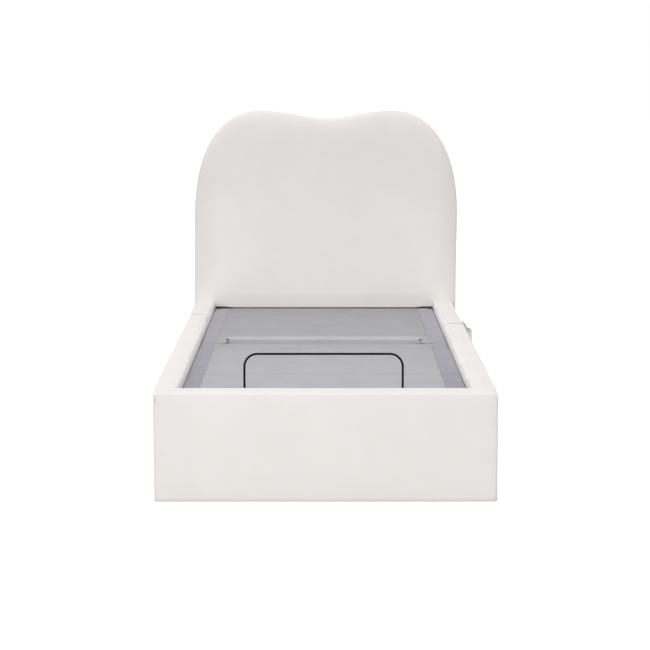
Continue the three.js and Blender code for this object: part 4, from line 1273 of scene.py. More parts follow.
@dataclass
class Surround:
    """The padded rails and footboard, and the black lining inside them."""

    height: float = 0.370
    hem: float = 0.0004
    hem_edge: float = 0.001
    outer: float = 0.575
    rail_foot: float = -1.0393
    rail_head: float = 1.01415
    rail_end: float = 0.003
    foot_face: float = -1.10755
    foot_inner: float = -1.03955
    head_face: float = 1.01445
    edge: float = 0.012
    outer_edge: float = 0.0075
    inner_edge: float = 0.007
    inner_roll: float = 0.0045
    joint_edge: float = 0.004
    corner: float = 0.016
    cloth: float = 0.004
    swell: float = 0.0035
    pitch: float = 0.013
    hem_fade: Pair = (0.003, 0.022)
    board_outer: float = 0.5607
    board_inner: float = 0.5153
    board_top: float = 0.3527
    board_foot: Pair = (-1.09325, -1.05385)
    lining_low: float = 0.022
    lining_high: float = 0.3225
    lining: float = 0.0009
    lining_ease: float = 0.0012
    # How far the linings are raised behind the deck's head end, all along and in the corners, to show as
    # painted shade in the gap.
    lining_rise: Pair = (0.0115, 0.0040)
    angle: float = 0.005
    angle_foot: float = -1.03925
    bolt: Point = (0.0075, 0.0052, 0.0016)
    bolt_heights: Pair = (0.078, 0.142)

    RAILS = (
        Rail(Side.LEFT, 0.5005, 0.570, (0.15, 0.47), (0.0062, 0.0075)),
        Rail(Side.RIGHT, 0.4925, 0.315, (-0.12, 0.17), (0.0015, 0.0)),
    )

    def build(self) -> None:
        """Builds both rails, the footboard and the lining, and dresses the boards."""
        for rail in self.RAILS:
            self._rail(rail)
            dress_node(f"{rail.side.label}_rail_board", TIMBER)
        self._footboard()
        dress_node("footboard_board", TIMBER)
        self._linings()
        for end in ("foot", "head"):
            for side in Side:
                dress_node(f"corner_angle_{end}_{side.label}", STEEL)
                self._angle_bolts(end, side)

    def _across(self, rail: Rail, x: float) -> float:
        """A place across a rail, from 0 at its inner face to 1 at its outer one."""
        return (abs(x) - rail.inner) / (self.outer - rail.inner)

    def _rail_relief(self, rail: Rail) -> Measure:
        """How far a rail's cover stands out or in at a place."""
        sign, crease = rail.side.value, rail.crease

        def amount(place: Vector, normal: Vector) -> float:
            inward, top, along = -sign * normal.x, max(0.0, normal.z), place.y
            across = clamp(self._across(rail, place.x))
            slack = 0.0019 * ripple(Vector((0, along, place.z * 0.3)), 0.19, 3.1 + sign)
            slack += 0.0008 * ripple(place, 0.055, 7.3)
            outer_wave = 0.0020 * ripple(Vector((sign, along, 0)), 0.075, 5.9) * ramp(-inward, 0.2, 0.8)
            puckered = 0.0018 * bump(abs(along - rail.seam), 0.022, 0.018) * top
            rim = ramp(inward, 0.15, 0.7) * ramp(place.z, 0.335, 0.35)
            wave = 0.0042 * ripple(Vector((0, along, 0.5 * place.z)), 0.085, 31.0 + sign)
            wave += 0.0030 * ripple(Vector((0, along, 0.8 * place.z)), 0.032, 17.0 + sign)
            crown = 0.0030 * top * ramp(across, 0.0, 0.5) * ramp(across, 1.0, 0.5)
            ends = clamp(min(self.rail_head - along, along - self.rail_foot) / 0.03)
            groove = -0.0045 * bump(along, rail.seam, 0.0045) * ramp(top, 0.2, 0.9) * ramp(across, 0.1, 0.5)
            fold = ramp(along, crease[0] - 0.03, crease[0] + 0.05)
            fold *= ramp(along, crease[1] + 0.05, crease[1] - 0.03)
            dent = -0.0035 * fold * bump(across, 0.16 + 0.06 * math.sin(19 * along), 0.06) * top
            hidden = ramp(inward, 0.2, 0.7) * ramp(place.z, 0.342, 0.328)
            loose = (slack + puckered + outer_wave + crown + wave * rim) * ends
            loose = min(loose, 0.0014 + 0.01 * ramp(inward, 0.5, 0.1))
            moved = loose * (1 - hidden) - 0.0006 * hidden + groove + dent
            return moved * ramp(place.z, *self.hem_fade)

        return amount

    def _rail_loose(self, rail: Rail) -> Measure:
        """How free a rail's cover is: held at its hem, ends and seam and below the deck."""

        def amount(place: Vector, normal: Vector) -> float:
            ends = ramp(min(self.rail_head - place.y, place.y - self.rail_foot), 0.004, 0.03)
            hem = ramp(place.z, 0.01, 0.04)
            sewn = 1 - bump(place.y, rail.seam, 0.004)
            flat = ramp(rail.side.value * normal.x, 0.90, 0.99) + 0.35 * ramp(normal.z, 0.90, 0.99)
            return ends * hem * sewn * flat

        return amount

    def _rail_soil(self, rail: Rail) -> Measure:
        """How much painted shade a rail's seam, creases and inner-face crumples get at a place."""
        sign, crease = rail.side.value, rail.crease

        def amount(place: Vector, normal: Vector) -> float:
            across = self._across(rail, place.x)
            top = ramp(normal.z, 0.3, 0.8)
            line = 0.8 * bump(place.y, rail.seam, 0.008) * top * ramp(across, 0.05, 0.6)
            fold = ramp(place.y, crease[0], crease[0] + 0.08)
            fold *= ramp(place.y, crease[1], crease[1] - 0.08)
            middle = 0.15 + 0.06 * math.sin(19 * place.y)
            line += 0.16 * fold * bump(across, middle, 0.035) * top
            # Painted shade in the crumples of the inner face near its top.
            inward = ramp(-sign * normal.x, 0.3, 0.9) * ramp(place.z, 0.33, 0.36)
            pinch = ramp(ripple(Vector((0, place.y, place.z)), 0.05, 17.0 + sign), 0.0, -0.45)
            return line + 0.14 * inward * pinch

        return amount

    def _flare(self, bm: Mesh, rail: Rail) -> None:
        """Draws a rail's outer side out, more so at its head end, and rolls its inner edge over."""
        near, far = rail.flare
        for vert in bm.verts:
            across = self._across(rail, vert.co.x)
            reach = near * ramp(vert.co.y, -1.04, -0.98) + far * ramp(vert.co.y, 0.45, 0.95)
            vert.co.x += rail.side.value * reach * across * ramp(vert.co.z, 0.0, 0.2)
            roll = ramp(across, 0.24, -0.05) * ramp(vert.co.z, 0.335, self.height)
            vert.co.z -= self.inner_roll * roll

    def _pad_out(self, bm: Mesh, loose: Measure, relief: Measure, dirt: Measure) -> None:
        """Swells a cover, gives it its slack and seams, and notes their painted shade."""
        puff(bm, self.swell, loose)
        push_out(bm, relief)
        keep_up(bm)
        bm.normal_update()
        soil(bm, dirt)

    def _rail(self, rail: Rail) -> None:
        """One rail's cover: an open-bottomed shell over the board."""
        sign, end = rail.side.value, self.rail_end
        low_x, high_x = sorted((sign * rail.inner, sign * self.outer))
        box = ((low_x, self.rail_foot, self.hem), (high_x, self.rail_head, self.height))
        board = sorted((sign * self.board_inner, sign * self.board_outer))
        near_seam = [rail.seam + 0.003 * step for step in range(-4, 5)]
        edges = (self.inner_edge, self.outer_edge)
        edges = edges if rail.side is Side.RIGHT else edges[::-1]
        stations = [
            rounded_stations(low_x, high_x, 0.009, edges, 4, board),
            rounded_stations(self.rail_foot, self.rail_head, self.pitch, (end, end), 3, near_seam),
            rounded_stations(self.hem, self.height, 0.018, (self.hem_edge, self.edge), 4, [self.board_top]),
        ]
        bm = lattice_block(stations)
        unroll_block(bm, box[1])
        middle, half = (board[0] + board[1]) / 2, (board[1] - board[0]) / 2

        def over_board(centre: Vector) -> bool:
            at_bottom = centre.z < self.hem + TINY
            at_end = centre.y < self.rail_foot + TINY or centre.y > self.rail_head - TINY
            covered = at_bottom or (at_end and centre.z < self.board_top)
            return abs(centre.x - middle) < half and covered

        cut_away(bm, over_board)
        round_block(bm, box, ((edges[0], end, self.hem_edge), (edges[1], end, self.edge)))
        self._flare(bm, rail)
        self._pad_out(bm, self._rail_loose(rail), self._rail_relief(rail), self._rail_soil(rail))
        name = f"{rail.side.label}_rail"
        piece = make_piece(bm, f"{name}_upholstery", "frame", COVER, [f"{name}_cover"], 70)
        thicken(piece, self.cloth)

    def _footboard(self) -> None:
        """The footboard's cover, with rounded corners and a small pleat at its top left."""
        box = ((-self.outer, self.foot_face, self.hem), (self.outer, self.foot_inner, self.height))
        board = self.board_foot
        sides = (-self.board_outer, self.board_outer)
        depths = (self.corner, self.joint_edge)
        stations = [
            rounded_stations(-self.outer, self.outer, 0.014, (self.corner,) * 2, 5, sides),
            rounded_stations(self.foot_face, self.foot_inner, 0.009, depths, 5, board),
            rounded_stations(self.hem, self.height, 0.014, (self.hem_edge, self.edge), 5),
        ]
        bm = lattice_block(stations)
        unroll_block(bm, box[1])

        def over_board(centre: Vector) -> bool:
            within = abs(centre.x) < self.board_outer and board[0] < centre.y < board[1]
            return within and centre.z < self.hem + TINY

        cut_away(bm, over_board)
        low = (self.corner, self.corner, self.hem_edge)
        round_block(bm, box, (low, (self.corner, self.joint_edge, self.edge)))

        def pleat(place: Vector) -> float:
            line = bump(place.x + 0.7 * place.z, -self.outer + 0.7 * self.height - 0.012, 0.004)
            return line * ramp(place.z, 0.318, 0.345) * ramp(place.x, -0.540, -0.560)

        def loose(place: Vector, normal: Vector) -> float:
            flat = ramp(-normal.y, 0.90, 0.99) + 0.5 * ramp(normal.z, 0.90, 0.99)
            return ramp(place.z, 0.01, 0.05) * flat * (1 - pleat(place))

        def relief(place: Vector, normal: Vector) -> float:
            front, top = max(0.0, -normal.y), max(0.0, normal.z)
            slack = 0.0020 * ripple(Vector((place.x, 0, place.z * 0.6)), 0.26, 11.7) * front
            slack += 0.0006 * ripple(place, 0.06, 4.9)
            crown = 0.0022 * front * math.sin(math.pi * place.z / self.height)
            crown += 0.0038 * top * ramp(place.y, self.foot_face, self.foot_face + 0.03)
            fade = ramp(self.outer - abs(place.x), 0.0, 0.05)
            moved = slack + crown * fade - 0.0030 * pleat(place) * front
            return moved * ramp(place.z, *self.hem_fade)

        def dirt(place: Vector, normal: Vector) -> float:
            # Painted shade in the pleat's fold, on the faces that look forward.
            return 0.3 * pleat(place) * ramp(-normal.y, 0.2, 0.8)

        self._pad_out(bm, loose, relief, dirt)
        piece = make_piece(bm, "footboard_upholstery", "frame", COVER, ["footboard_cover"], 70)
        thicken(piece, self.cloth)

    def _linings(self) -> None:
        """The black cloth stapled round the inside of the surround, up to the deck."""
        ease = self.lining_ease
        foot_y, head_y = self.foot_inner + ease, self.head_face - 4 * ease
        left_x, right_x = -self.RAILS[0].inner + ease, self.RAILS[1].inner - ease
        long = (self.rail_foot + 0.004, self.rail_head - 0.003)
        wide = (left_x + 0.003, right_x - 0.003)
        walls = {
            "lining_left": (turned(90, Axis.Z), (left_x, 0), long, "left_rail_board"),
            "lining_right": (turned(-90, Axis.Z), (right_x, 0), long, "right_rail_board"),
            "lining_foot": (turned(180, Axis.Z), (0, foot_y), wide, "footboard_board"),
            "lining_head": (Matrix.Identity(4), (0, head_y), wide, "headboard_core"),
        }
        for name, (turn, (x, y), span, carrier) in walls.items():
            length, height = span[1] - span[0], self.lining_high - self.lining_low
            bm = bmesh.new()
            bmesh.ops.create_grid(bm, x_segments=round(length / 0.04), y_segments=10, size=0.5)
            placed(bm, turned(90, Axis.X) @ Matrix.Diagonal((length, height, 1.0, 1.0)))
            push_out(bm, lambda place, normal: 0.0003 * ripple(place, 0.13, 9.4))
            middle = (span[0] + span[1]) / 2
            along = (middle, 0.0) if abs(x) < TINY else (0.0, middle)
            centre = at(x + along[0], y + along[1], (self.lining_low + self.lining_high) / 2)
            placed(bm, centre @ turn)
            self._draw_up(bm)
            cloth = make_piece(bm, name, "frame", BACKING, sharp=75)
            thicken(cloth, self.lining)

    def _draw_up(self, bm: Mesh) -> None:
        """Raises a lining behind the deck's head end, and further in the two corners, as painted shade in
        the gap.
        """
        whole, corner = self.lining_rise
        for vert in bm.verts:
            share = ramp(vert.co.z, self.lining_high - 0.04, self.lining_high)
            share *= ramp(vert.co.y, 0.90, 0.96)
            vert.co.z += share * (whole + corner * ramp(abs(vert.co.x), 0.424, 0.436))

    def _angle_bolts(self, end: str, side: Side) -> None:
        """The bolts that hold a corner angle to the rail and to the board across it."""
        wall, away = (self.angle_foot, 1) if end == "foot" else (self.rail_head, -1)
        sign, bolts = side.value, []
        for height in self.bolt_heights:
            on_rail = at(sign * 0.4957, wall + away * 0.036, height) @ turned(-90 * sign, Axis.Y)
            on_board = at(sign * 0.4647, wall + away * self.angle, height) @ turned(-90 * away, Axis.X)
            bolts += [placed(hex_bolt(*self.bolt), spot) for spot in (on_rail, on_board)]
        make_piece(joined(bolts), f"corner_bolts_{end}_{side.label}", "frame", ZINC)


@dataclass
class Headboard:
    """The headboard's padded front, drawn round its core, and the cloth on its back."""

    half: float = 0.600
    top: float = 1.2262
    side_top: float = 0.750
    hump: float = 0.302
    shoulder_run: float = 0.206
    shoulder_rise: float = 0.266
    hump_run: float = 0.118
    dip_run: float = 0.099
    dip: float = 0.0365
    hem: float = 0.002
    face: float = 1.01445
    rear: float = 1.10755
    rear_round: float = 0.006
    roll: float = 0.046
    roll_depth: float = 0.030
    back_margin: float = 0.0117
    crown: float = 0.0035
    swell: float = 0.004
    pitch: float = 0.024
    cloth: float = 0.0006
    cloth_margin: float = 0.0126
    cloth_pitch: float = 0.04
    staple: float = 0.0105
    staple_wire: float = 0.0004
    staple_pitch: float = 0.055
    staple_margin: float = 0.024

    def outline(self, inset: float, steps: int = 22) -> list[Pair]:
        """The outline from the right foot over the top to the left foot.

        Args:
            inset: How far it is drawn in on every side but the bottom.
            steps: The steps of each curve.

        Returns:
            The (x, z) points, without the bottom edge.
        """
        half, top = self.half - inset, self.top - inset
        low_top = top - self.dip
        right = [(half, self.hem + (self.side_top - self.hem) * i / 26) for i in range(26)]
        shoulder = ((half, self.side_top), (half, self.side_top + self.shoulder_rise))
        shoulder += ((self.hump + self.shoulder_run, top), (self.hump, top))
        wave = ((self.hump, top), (self.hump - self.hump_run, top), (self.dip_run, low_top), (0, low_top))
        for curve in (shoulder, wave):
            for i in range(steps):
                t = i / steps
                weights = ((1 - t) ** 3, 3 * t * (1 - t) ** 2, 3 * t * t * (1 - t), t**3)
                x, z = (sum(w * point[axis] for w, point in zip(weights, curve)) for axis in (0, 1))
                right.append((x, z))
        whole = right + [(0.0, low_top)] + [(-x, z) for x, z in reversed(right)]
        return [(x + self._lean(x, z), z) for x, z in whole]

    def _lean(self, x: float, z: float) -> float:
        """How far the soft outline sits to the right of an even one."""
        return 0.0045 * ramp(z, 0.40, 0.90) + 0.0035 * max(0.0, -x) / self.half

    def build(self) -> None:
        """Builds the cushion and the back cloth, and dresses the core."""
        self._cushion()
        self._back_cloth()
        self._staples()
        dress_node("headboard_core", TIMBER)

    def _ring(self, bm: Mesh, inset: float, y: float) -> list[Edge]:
        """One drawn-in outline at a depth, as a closed loop of edges."""
        return closed_loop(bm, [(x, y, z) for x, z in self.outline(inset)])

    def _sections(self) -> list[Pair]:
        """The cushion's edge from the back rim over the roll to the front, as (inset, y)."""
        rim = self.rear_round
        sections = [(self.back_margin, self.rear - 0.004), (self.back_margin, self.rear)]
        for turn in even_stations(0.0, math.pi / 2, math.pi / 8):
            sections.append((rim * (1 - math.sin(turn)), self.rear - rim * (1 - math.cos(turn))))
        sections.append((0.0, (self.rear + self.face + self.roll_depth) / 2))
        for turn in even_stations(0.0, math.pi / 2, math.pi / 16):
            depth = self.roll_depth * (1 - math.sin(turn))
            sections.append((self.roll * (1 - math.cos(turn)), self.face + depth))
        return sections

    def _cushion(self) -> None:
        """The padded front, its rolled edge and the hem turned onto the back."""
        bm = bmesh.new()
        loops = [self._ring(bm, inset, y) for inset, y in self._sections()]
        bridge(bm, loops)
        bmesh.ops.contextual_create(bm, geom=loops[-1])
        inner = self.half - self.roll - 0.004
        rows = even_stations(self.hem + self.pitch, self.top - self.roll, self.pitch)

        def on_front(face: Face) -> bool:
            return all(abs(v.co.y - self.face) < TINY for v in face.verts)

        slice_faces(bm, Axis.X, even_stations(-inner, inner, self.pitch), on_front)
        slice_faces(bm, Axis.Z, rows, on_front)
        bmesh.ops.recalc_face_normals(bm, faces=bm.faces)
        if sum(f.normal.y * f.calc_area() for f in bm.faces if abs(f.normal.y) > 0.9) > 0:
            bmesh.ops.reverse_faces(bm, faces=bm.faces)

        def relief(place: Vector, normal: Vector) -> float:
            front = max(0.0, -normal.y)
            level = ramp(place.z, 0.0, 0.12)
            wide = 1 - (place.x / self.half) ** 4
            slack = 0.0016 * ripple(Vector((place.x, 0, place.z)), 0.3, 21.3)
            slack += 0.0005 * ripple(place, 0.07, 2.2)
            return (slack + self.crown * wide * level) * front - 0.001

        def loose(place: Vector, normal: Vector) -> float:
            return ramp(place.z, 0.36, 0.42) * ramp(-normal.y, 0.80, 0.97)

        puff(bm, self.swell, loose)
        push_out(bm, relief)
        keep_up(bm)
        piece = make_piece(bm, "headboard_upholstery", "frame", COVER, ["headboard_cushion"], 75)

    def _back_cloth(self) -> None:
        """The dust cloth stapled to the core's back, slightly slack."""
        inset, pitch = self.cloth_margin, self.cloth_pitch
        bm = bmesh.new()
        bmesh.ops.contextual_create(bm, geom=self._ring(bm, inset, self.rear - self.cloth))
        slice_faces(bm, Axis.X, even_stations(-0.56, 0.56, pitch))
        slice_faces(bm, Axis.Z, even_stations(pitch, 1.19, pitch))
        bmesh.ops.recalc_face_normals(bm, faces=bm.faces)
        if sum(f.normal.y for f in bm.faces) < 0:
            bmesh.ops.reverse_faces(bm, faces=bm.faces)
        push_out(bm, lambda place, normal: 0.0004 * ripple(place, 0.12, 5.5) - 0.0004)
        area = sum(f.calc_area() for f in bm.faces)
        cloth = make_piece(bm, "headboard_dust_cloth", "frame", BACKING, ["headboard_back_cloth"], 75)
        thicken(cloth, self.cloth)

    def _staples(self) -> None:
        """The staples that hold the dust cloth, a little way in from its edge."""
        line, pitch = self.outline(self.staple_margin), self.staple_pitch
        wire, half = self.staple_wire, self.staple / 2
        staples, run, due = [], 0.0, pitch / 2
        for (x0, z0), (x1, z1) in zip(line, line[1:]):
            length = math.hypot(x1 - x0, z1 - z0)
            while due <= run + length:
                share = (due - run) / length
                x, z = x0 + (x1 - x0) * share, z0 + (z1 - z0) * share
                lean = math.atan2(z1 - z0, x1 - x0) + 0.12 * ripple(Vector((x, 0, z)), 0.02, 3.0)
                bar = soft_box((-half, -wire, -wire), (half, wire, wire), 0)
                spot = at(x, self.rear + 0.0002, z) @ Matrix.Rotation(-lean, 4, "Y")
                staples.append(placed(bar, spot))
                due += pitch
            run += length
        make_piece(joined(staples), "headboard_staples", "frame", ZINC)


# The deck


@dataclass
class Pad:
    """One deck pad: where it lies and how its two ends lean."""

    name: str
    body: str
    foot: Pair
    head: Pair
    round_foot: bool = False
    round_head: bool = False


@dataclass
class Deck:
    """The four pads on their boards, and the cloth that bridges their hinges."""

    centre: float = -0.0041
    half: float = 0.4942
    low: float = 0.3053
    top: float = 0.332
    edge: float = 0.0035
    end_edge: float = 0.004
    corner: float = 0.042
    pitch: float = 0.018
    panel_half: float = 0.430
    slope_start: float = 0.10245
    slope_end: float = 0.14245
    valley_half: float = 0.395
    valley: Pair = (0.015, 0.245)
    valley_side: Pair = (0.016, -0.004)
    swell: float = 0.0022
    cloth: float = 0.0008
    cloth_lift: float = 0.0009
    cloth_margin: float = 0.003
    head_cloth: Pair = (0.070, 0.205)
    hip_cloth: Pair = (-0.052, 0.046)

    PADS = (
        Pad("calf_pad", "calf_section", (-1.02755, -1.02755), (-0.57405, -0.57405), round_foot=True),
        Pad("thigh_pad", "thigh_section", (-0.57105, -0.57105), (-0.01055, -0.01655)),
        Pad("seat_pad", "frame", (0.00545, 0.01245), (0.14245, 0.14245)),
        Pad("head_pad", "head_section", (0.15845, 0.16245), (0.9985, 0.9985), round_head=True),
    )

    def build(self) -> None:
        """Builds the pads and hinge cloths and dresses the boards."""
        for pad in self.PADS:
            self._pad(pad)
            dress_node(pad.name.replace("pad", "board"), TIMBER)
        for side in Side:
            self._head_bridge(side)
        self._hip_bridge()
        self._rivets()

    def _pad(self, pad: Pad) -> None:
        """One pad with a soft top edge, its seams drawn down and its middle slightly full."""
        foot, head = min(pad.foot), max(pad.head)
        box = ((-self.half, foot, self.low), (self.half, head, self.top))
        places = (self.panel_half, self.valley_half)
        lines = [s * x + d for s in (-1, 1) for x in places for d in (-0.005, 0.0, 0.005)]
        slope = [self.slope_start, self.slope_start + 0.012] if pad.name == "seat_pad" else []
        end = self.end_edge
        stations = [
            rounded_stations(-self.half, self.half, self.pitch, (self.edge,) * 2, 3, lines),
            rounded_stations(foot, head, min(self.pitch, (head - foot) / 9), (end, end), 3, slope),
            rounded_stations(self.low, self.top, 0.006, (0.0, self.edge), 3),
        ]
        bm = lattice_block(stations)
        unroll_block(bm, box[1])
        round_block(bm, box, ((self.edge, end, 0.0), (self.edge, end, self.edge)))
        tall = self.top - self.low
        for vert in bm.verts:
            lift = (vert.co.z - self.low) / tall
            share = (vert.co.y - foot) / (head - foot)
            near, far = [low + (high - low) * lift for low, high in (pad.foot, pad.head)]
            vert.co.y = near + (far - near) * share
            self._round_plan(vert, pad)
            share = (self._surface(pad, vert.co) - self.low) / tall
            vert.co.z = self.low + (vert.co.z - self.low) * share
            vert.co.x += self.centre

        def relief(place: Vector, normal: Vector) -> float:
            top = max(0.0, normal.z)
            seam = bump(abs(place.x - self.centre), self.panel_half, 0.0035)
            slack = 0.0011 * ripple(Vector((0.6 * place.x, place.y, 0)), 0.16, 8.8)
            slack += 0.0004 * ripple(place, 0.045, 1.9)
            return (slack - 0.0012 * seam - 0.0006) * top

        def loose(place: Vector, normal: Vector) -> float:
            wide = abs(place.x - self.centre)
            rim = min(self.half - wide, place.y - foot, head - place.y)
            sewn = 1 - bump(wide, self.panel_half, 0.007)
            free = ramp(rim, 0.006, 0.03) * sewn * ramp(normal.z, 0.5, 0.95)
            for side in Side:
                bar = side.value * Retainer.half + Retainer.middle
                free *= ramp(math.hypot(place.x - bar, place.y - Retainer.station), 0.014, 0.05)
            return free

        puff(bm, self.swell, loose)
        push_out(bm, relief)
        piece = make_piece(bm, pad.name.replace("pad", "deck_pad"), pad.body, DECK, [pad.name], 60)

    def _in_valley(self, across: float) -> float:
        """1 within the open valley's width, 0 at the borders beside it."""
        return ramp(across, *[self.valley_half + margin for margin in self.valley_side])

    def _surface(self, pad: Pad, place: Vector) -> float:
        """How high a pad's top lies at a place: it dips into the open valley of the head hinge."""
        inside = self._in_valley(abs(place.x))
        if pad.name == "head_pad":
            share = (self.valley[1] - place.y) / (self.valley[1] - pad.foot[0])
            roll = 0.0016 * inside * bump(place.y, self.valley[1], 0.03)
            return self.top + roll - 0.0042 * inside * ramp(share, -0.08, 1.05)
        if pad.name == "seat_pad":
            share = (place.y - self.valley[0]) / (self.slope_start - self.valley[0])
            dip = 0.0050 * inside * clamp(share)
            fall = clamp((place.y - self.slope_start) / (self.slope_end - self.slope_start))
            return self.low + (self.top - dip - self.low) * (1 - 0.97 * fall)
        return self.top

    def _round_plan(self, vert: bmesh.types.BMVert, pad: Pad) -> None:
        """Rounds the two plan corners at the deck's end."""
        if not (pad.round_foot or pad.round_head):
            return
        away = -1 if pad.round_foot else 1
        end = min(pad.foot) if pad.round_foot else max(pad.head)
        inner_x, inner_y = self.half - self.corner, end - away * self.corner
        dx, dy = abs(vert.co.x) - inner_x, away * (vert.co.y - inner_y)
        if dx > 0 and dy > 0:
            share = max(dx, dy) / math.hypot(dx, dy)
            vert.co.x = math.copysign(inner_x + dx * share, vert.co.x)
            vert.co.y = inner_y + away * dy * share

    def _cloth_strip(self, span: Pair, along: Pair, pitch: Pair) -> Mesh:
        """A flat strip of cloth just above the pads.

        Args:
            span: Its ends along X.
            along: Its ends along Y.
            pitch: The spacing of its grid along X and Y.

        Returns:
            The strip.
        """
        cells = [round((b - a) / p) for (a, b), p in zip((span, along), pitch)]
        return cloth_grid(span, along, cells, self.top + self.cloth_lift)

    def _head_bridge(self, side: Side) -> None:
        """The border cloth that runs on over the head hinge, beside the open valley."""
        span = sorted(side.value * (x - self.cloth_margin) for x in (self.valley_half, self.half))
        span, along = [x + self.centre for x in span], self.head_cloth
        bm = self._cloth_strip(span, along, (0.008, 0.005))
        for vert in bm.verts:
            inner = self._in_valley(abs(vert.co.x - self.centre))
            over_gap = ramp(vert.co.y, 0.110, 0.135) * ramp(vert.co.y, 0.172, 0.160)
            vert.co.z -= over_gap * 0.0012 + 0.0046 * inner * ramp(vert.co.y, 0.060, 0.150)
            vert.co.z -= 0.0012 * max(ramp(vert.co.y, 0.078, 0.070), ramp(vert.co.y, 0.197, 0.205))
            vert.co.z += 0.0005 * ripple(vert.co, 0.03, 6.1)
        name = f"head_hinge_cloth_{side.label}"
        blended = ("head_section", (0, 0.112, 0.33), (0, 0.172, 0.33))
        cloth = make_piece(bm, name, "frame", DECK, sharp=75, blended=blended)
        thicken(cloth, self.cloth)

    def _hip_bridge(self) -> None:
        """The cloth over the hinge between the seat and the thigh pad, with its seam."""
        along, reach = self.hip_cloth, self.half - self.cloth_margin
        span = (self.centre - reach, self.centre + reach)
        bm = self._cloth_strip(span, along, (0.014, 0.0045))
        for vert in bm.verts:
            sag = ramp(vert.co.y, -0.024, -0.008) * ramp(vert.co.y, 0.018, 0.006)
            vert.co.z -= 0.0030 * sag + 0.0022 * bump(vert.co.y, -0.0145, 0.003)
            ends = max(ramp(vert.co.y, -0.044, -0.052), ramp(vert.co.y, 0.038, 0.046))
            vert.co.z += 0.0004 * ripple(vert.co, 0.05, 12.2) - 0.0014 * ends
        blended = ("thigh_section", (0, 0.020, 0.33), (0, -0.030, 0.33))
        cloth = make_piece(bm, "hip_hinge_cloth", "frame", DECK, sharp=75, blended=blended)
        thicken(cloth, self.cloth)

    def _rivets(self) -> None:
        """Black domes at the ends of the head pad's open end face, standing in for the shade of holes there.
        """
        dome = [(0, 0.0026), (0.003, 0.0024), (0.0052, 0.0016), (0.0064, 0.0), (0, 0.0)]
        hole_shade_dots = []
        for side in Side:
            x = self.centre + side.value * (self.valley_half - self.cloth_margin)
            hole_shade_dots.append(placed(lathe(dome, 24), at(x, 0.1690, 0.3293) @ turned(6, Axis.X)))
        make_piece(joined(hole_shade_dots), "hinge_rivets", "head_section", PLASTIC)


@dataclass
class Retainer:
    """The bent bar that keeps the mattress from sliding off the foot end."""

    middle: float = -0.007
    half: float = 0.2685
    station: float = -0.98255
    foot: float = 0.280
    top: float = 0.479
    bend: float = 0.044
    radius: float = 0.0037
    collar: float = 0.011
    collar_height: float = 0.006
    collar_edge: float = 0.002
    deck_top: float = 0.3323

    def build(self) -> None:
        """Builds the bar and its two collars."""
        right = [(self.half, z) for z in even_stations(self.foot, self.top - self.bend, 0.03)]
        for turn in even_stations(0.0, math.pi / 2, math.pi / 28)[1:]:
            x = self.half - self.bend + self.bend * math.cos(turn)
            right.append((x, self.top - self.bend + self.bend * math.sin(turn)))
        left = [(-x, z) for x, z in reversed(right)]
        path = [Vector((self.middle + x, self.station, z)) for x, z in right + left]
        bar = rod_along(path, self.radius, 20)
        make_piece(bar, "retainer_rod", "retainer", SATIN, ["retainer_bar"])
        low, high = self.deck_top, self.deck_top + self.collar_height
        inner, outer, edge = self.radius + 0.0002, self.collar, self.collar_edge
        ring = [(inner, low), (outer, low), (outer, high - edge), (outer - edge, high), (inner, high)]
        ring.append(ring[0])
        for side in Side:
            collar = placed(lathe(ring, 32), at(self.middle + side.value * self.half, self.station, 0))
            make_piece(collar, f"retainer_collar_{side.label}", "retainer", PLASTIC)


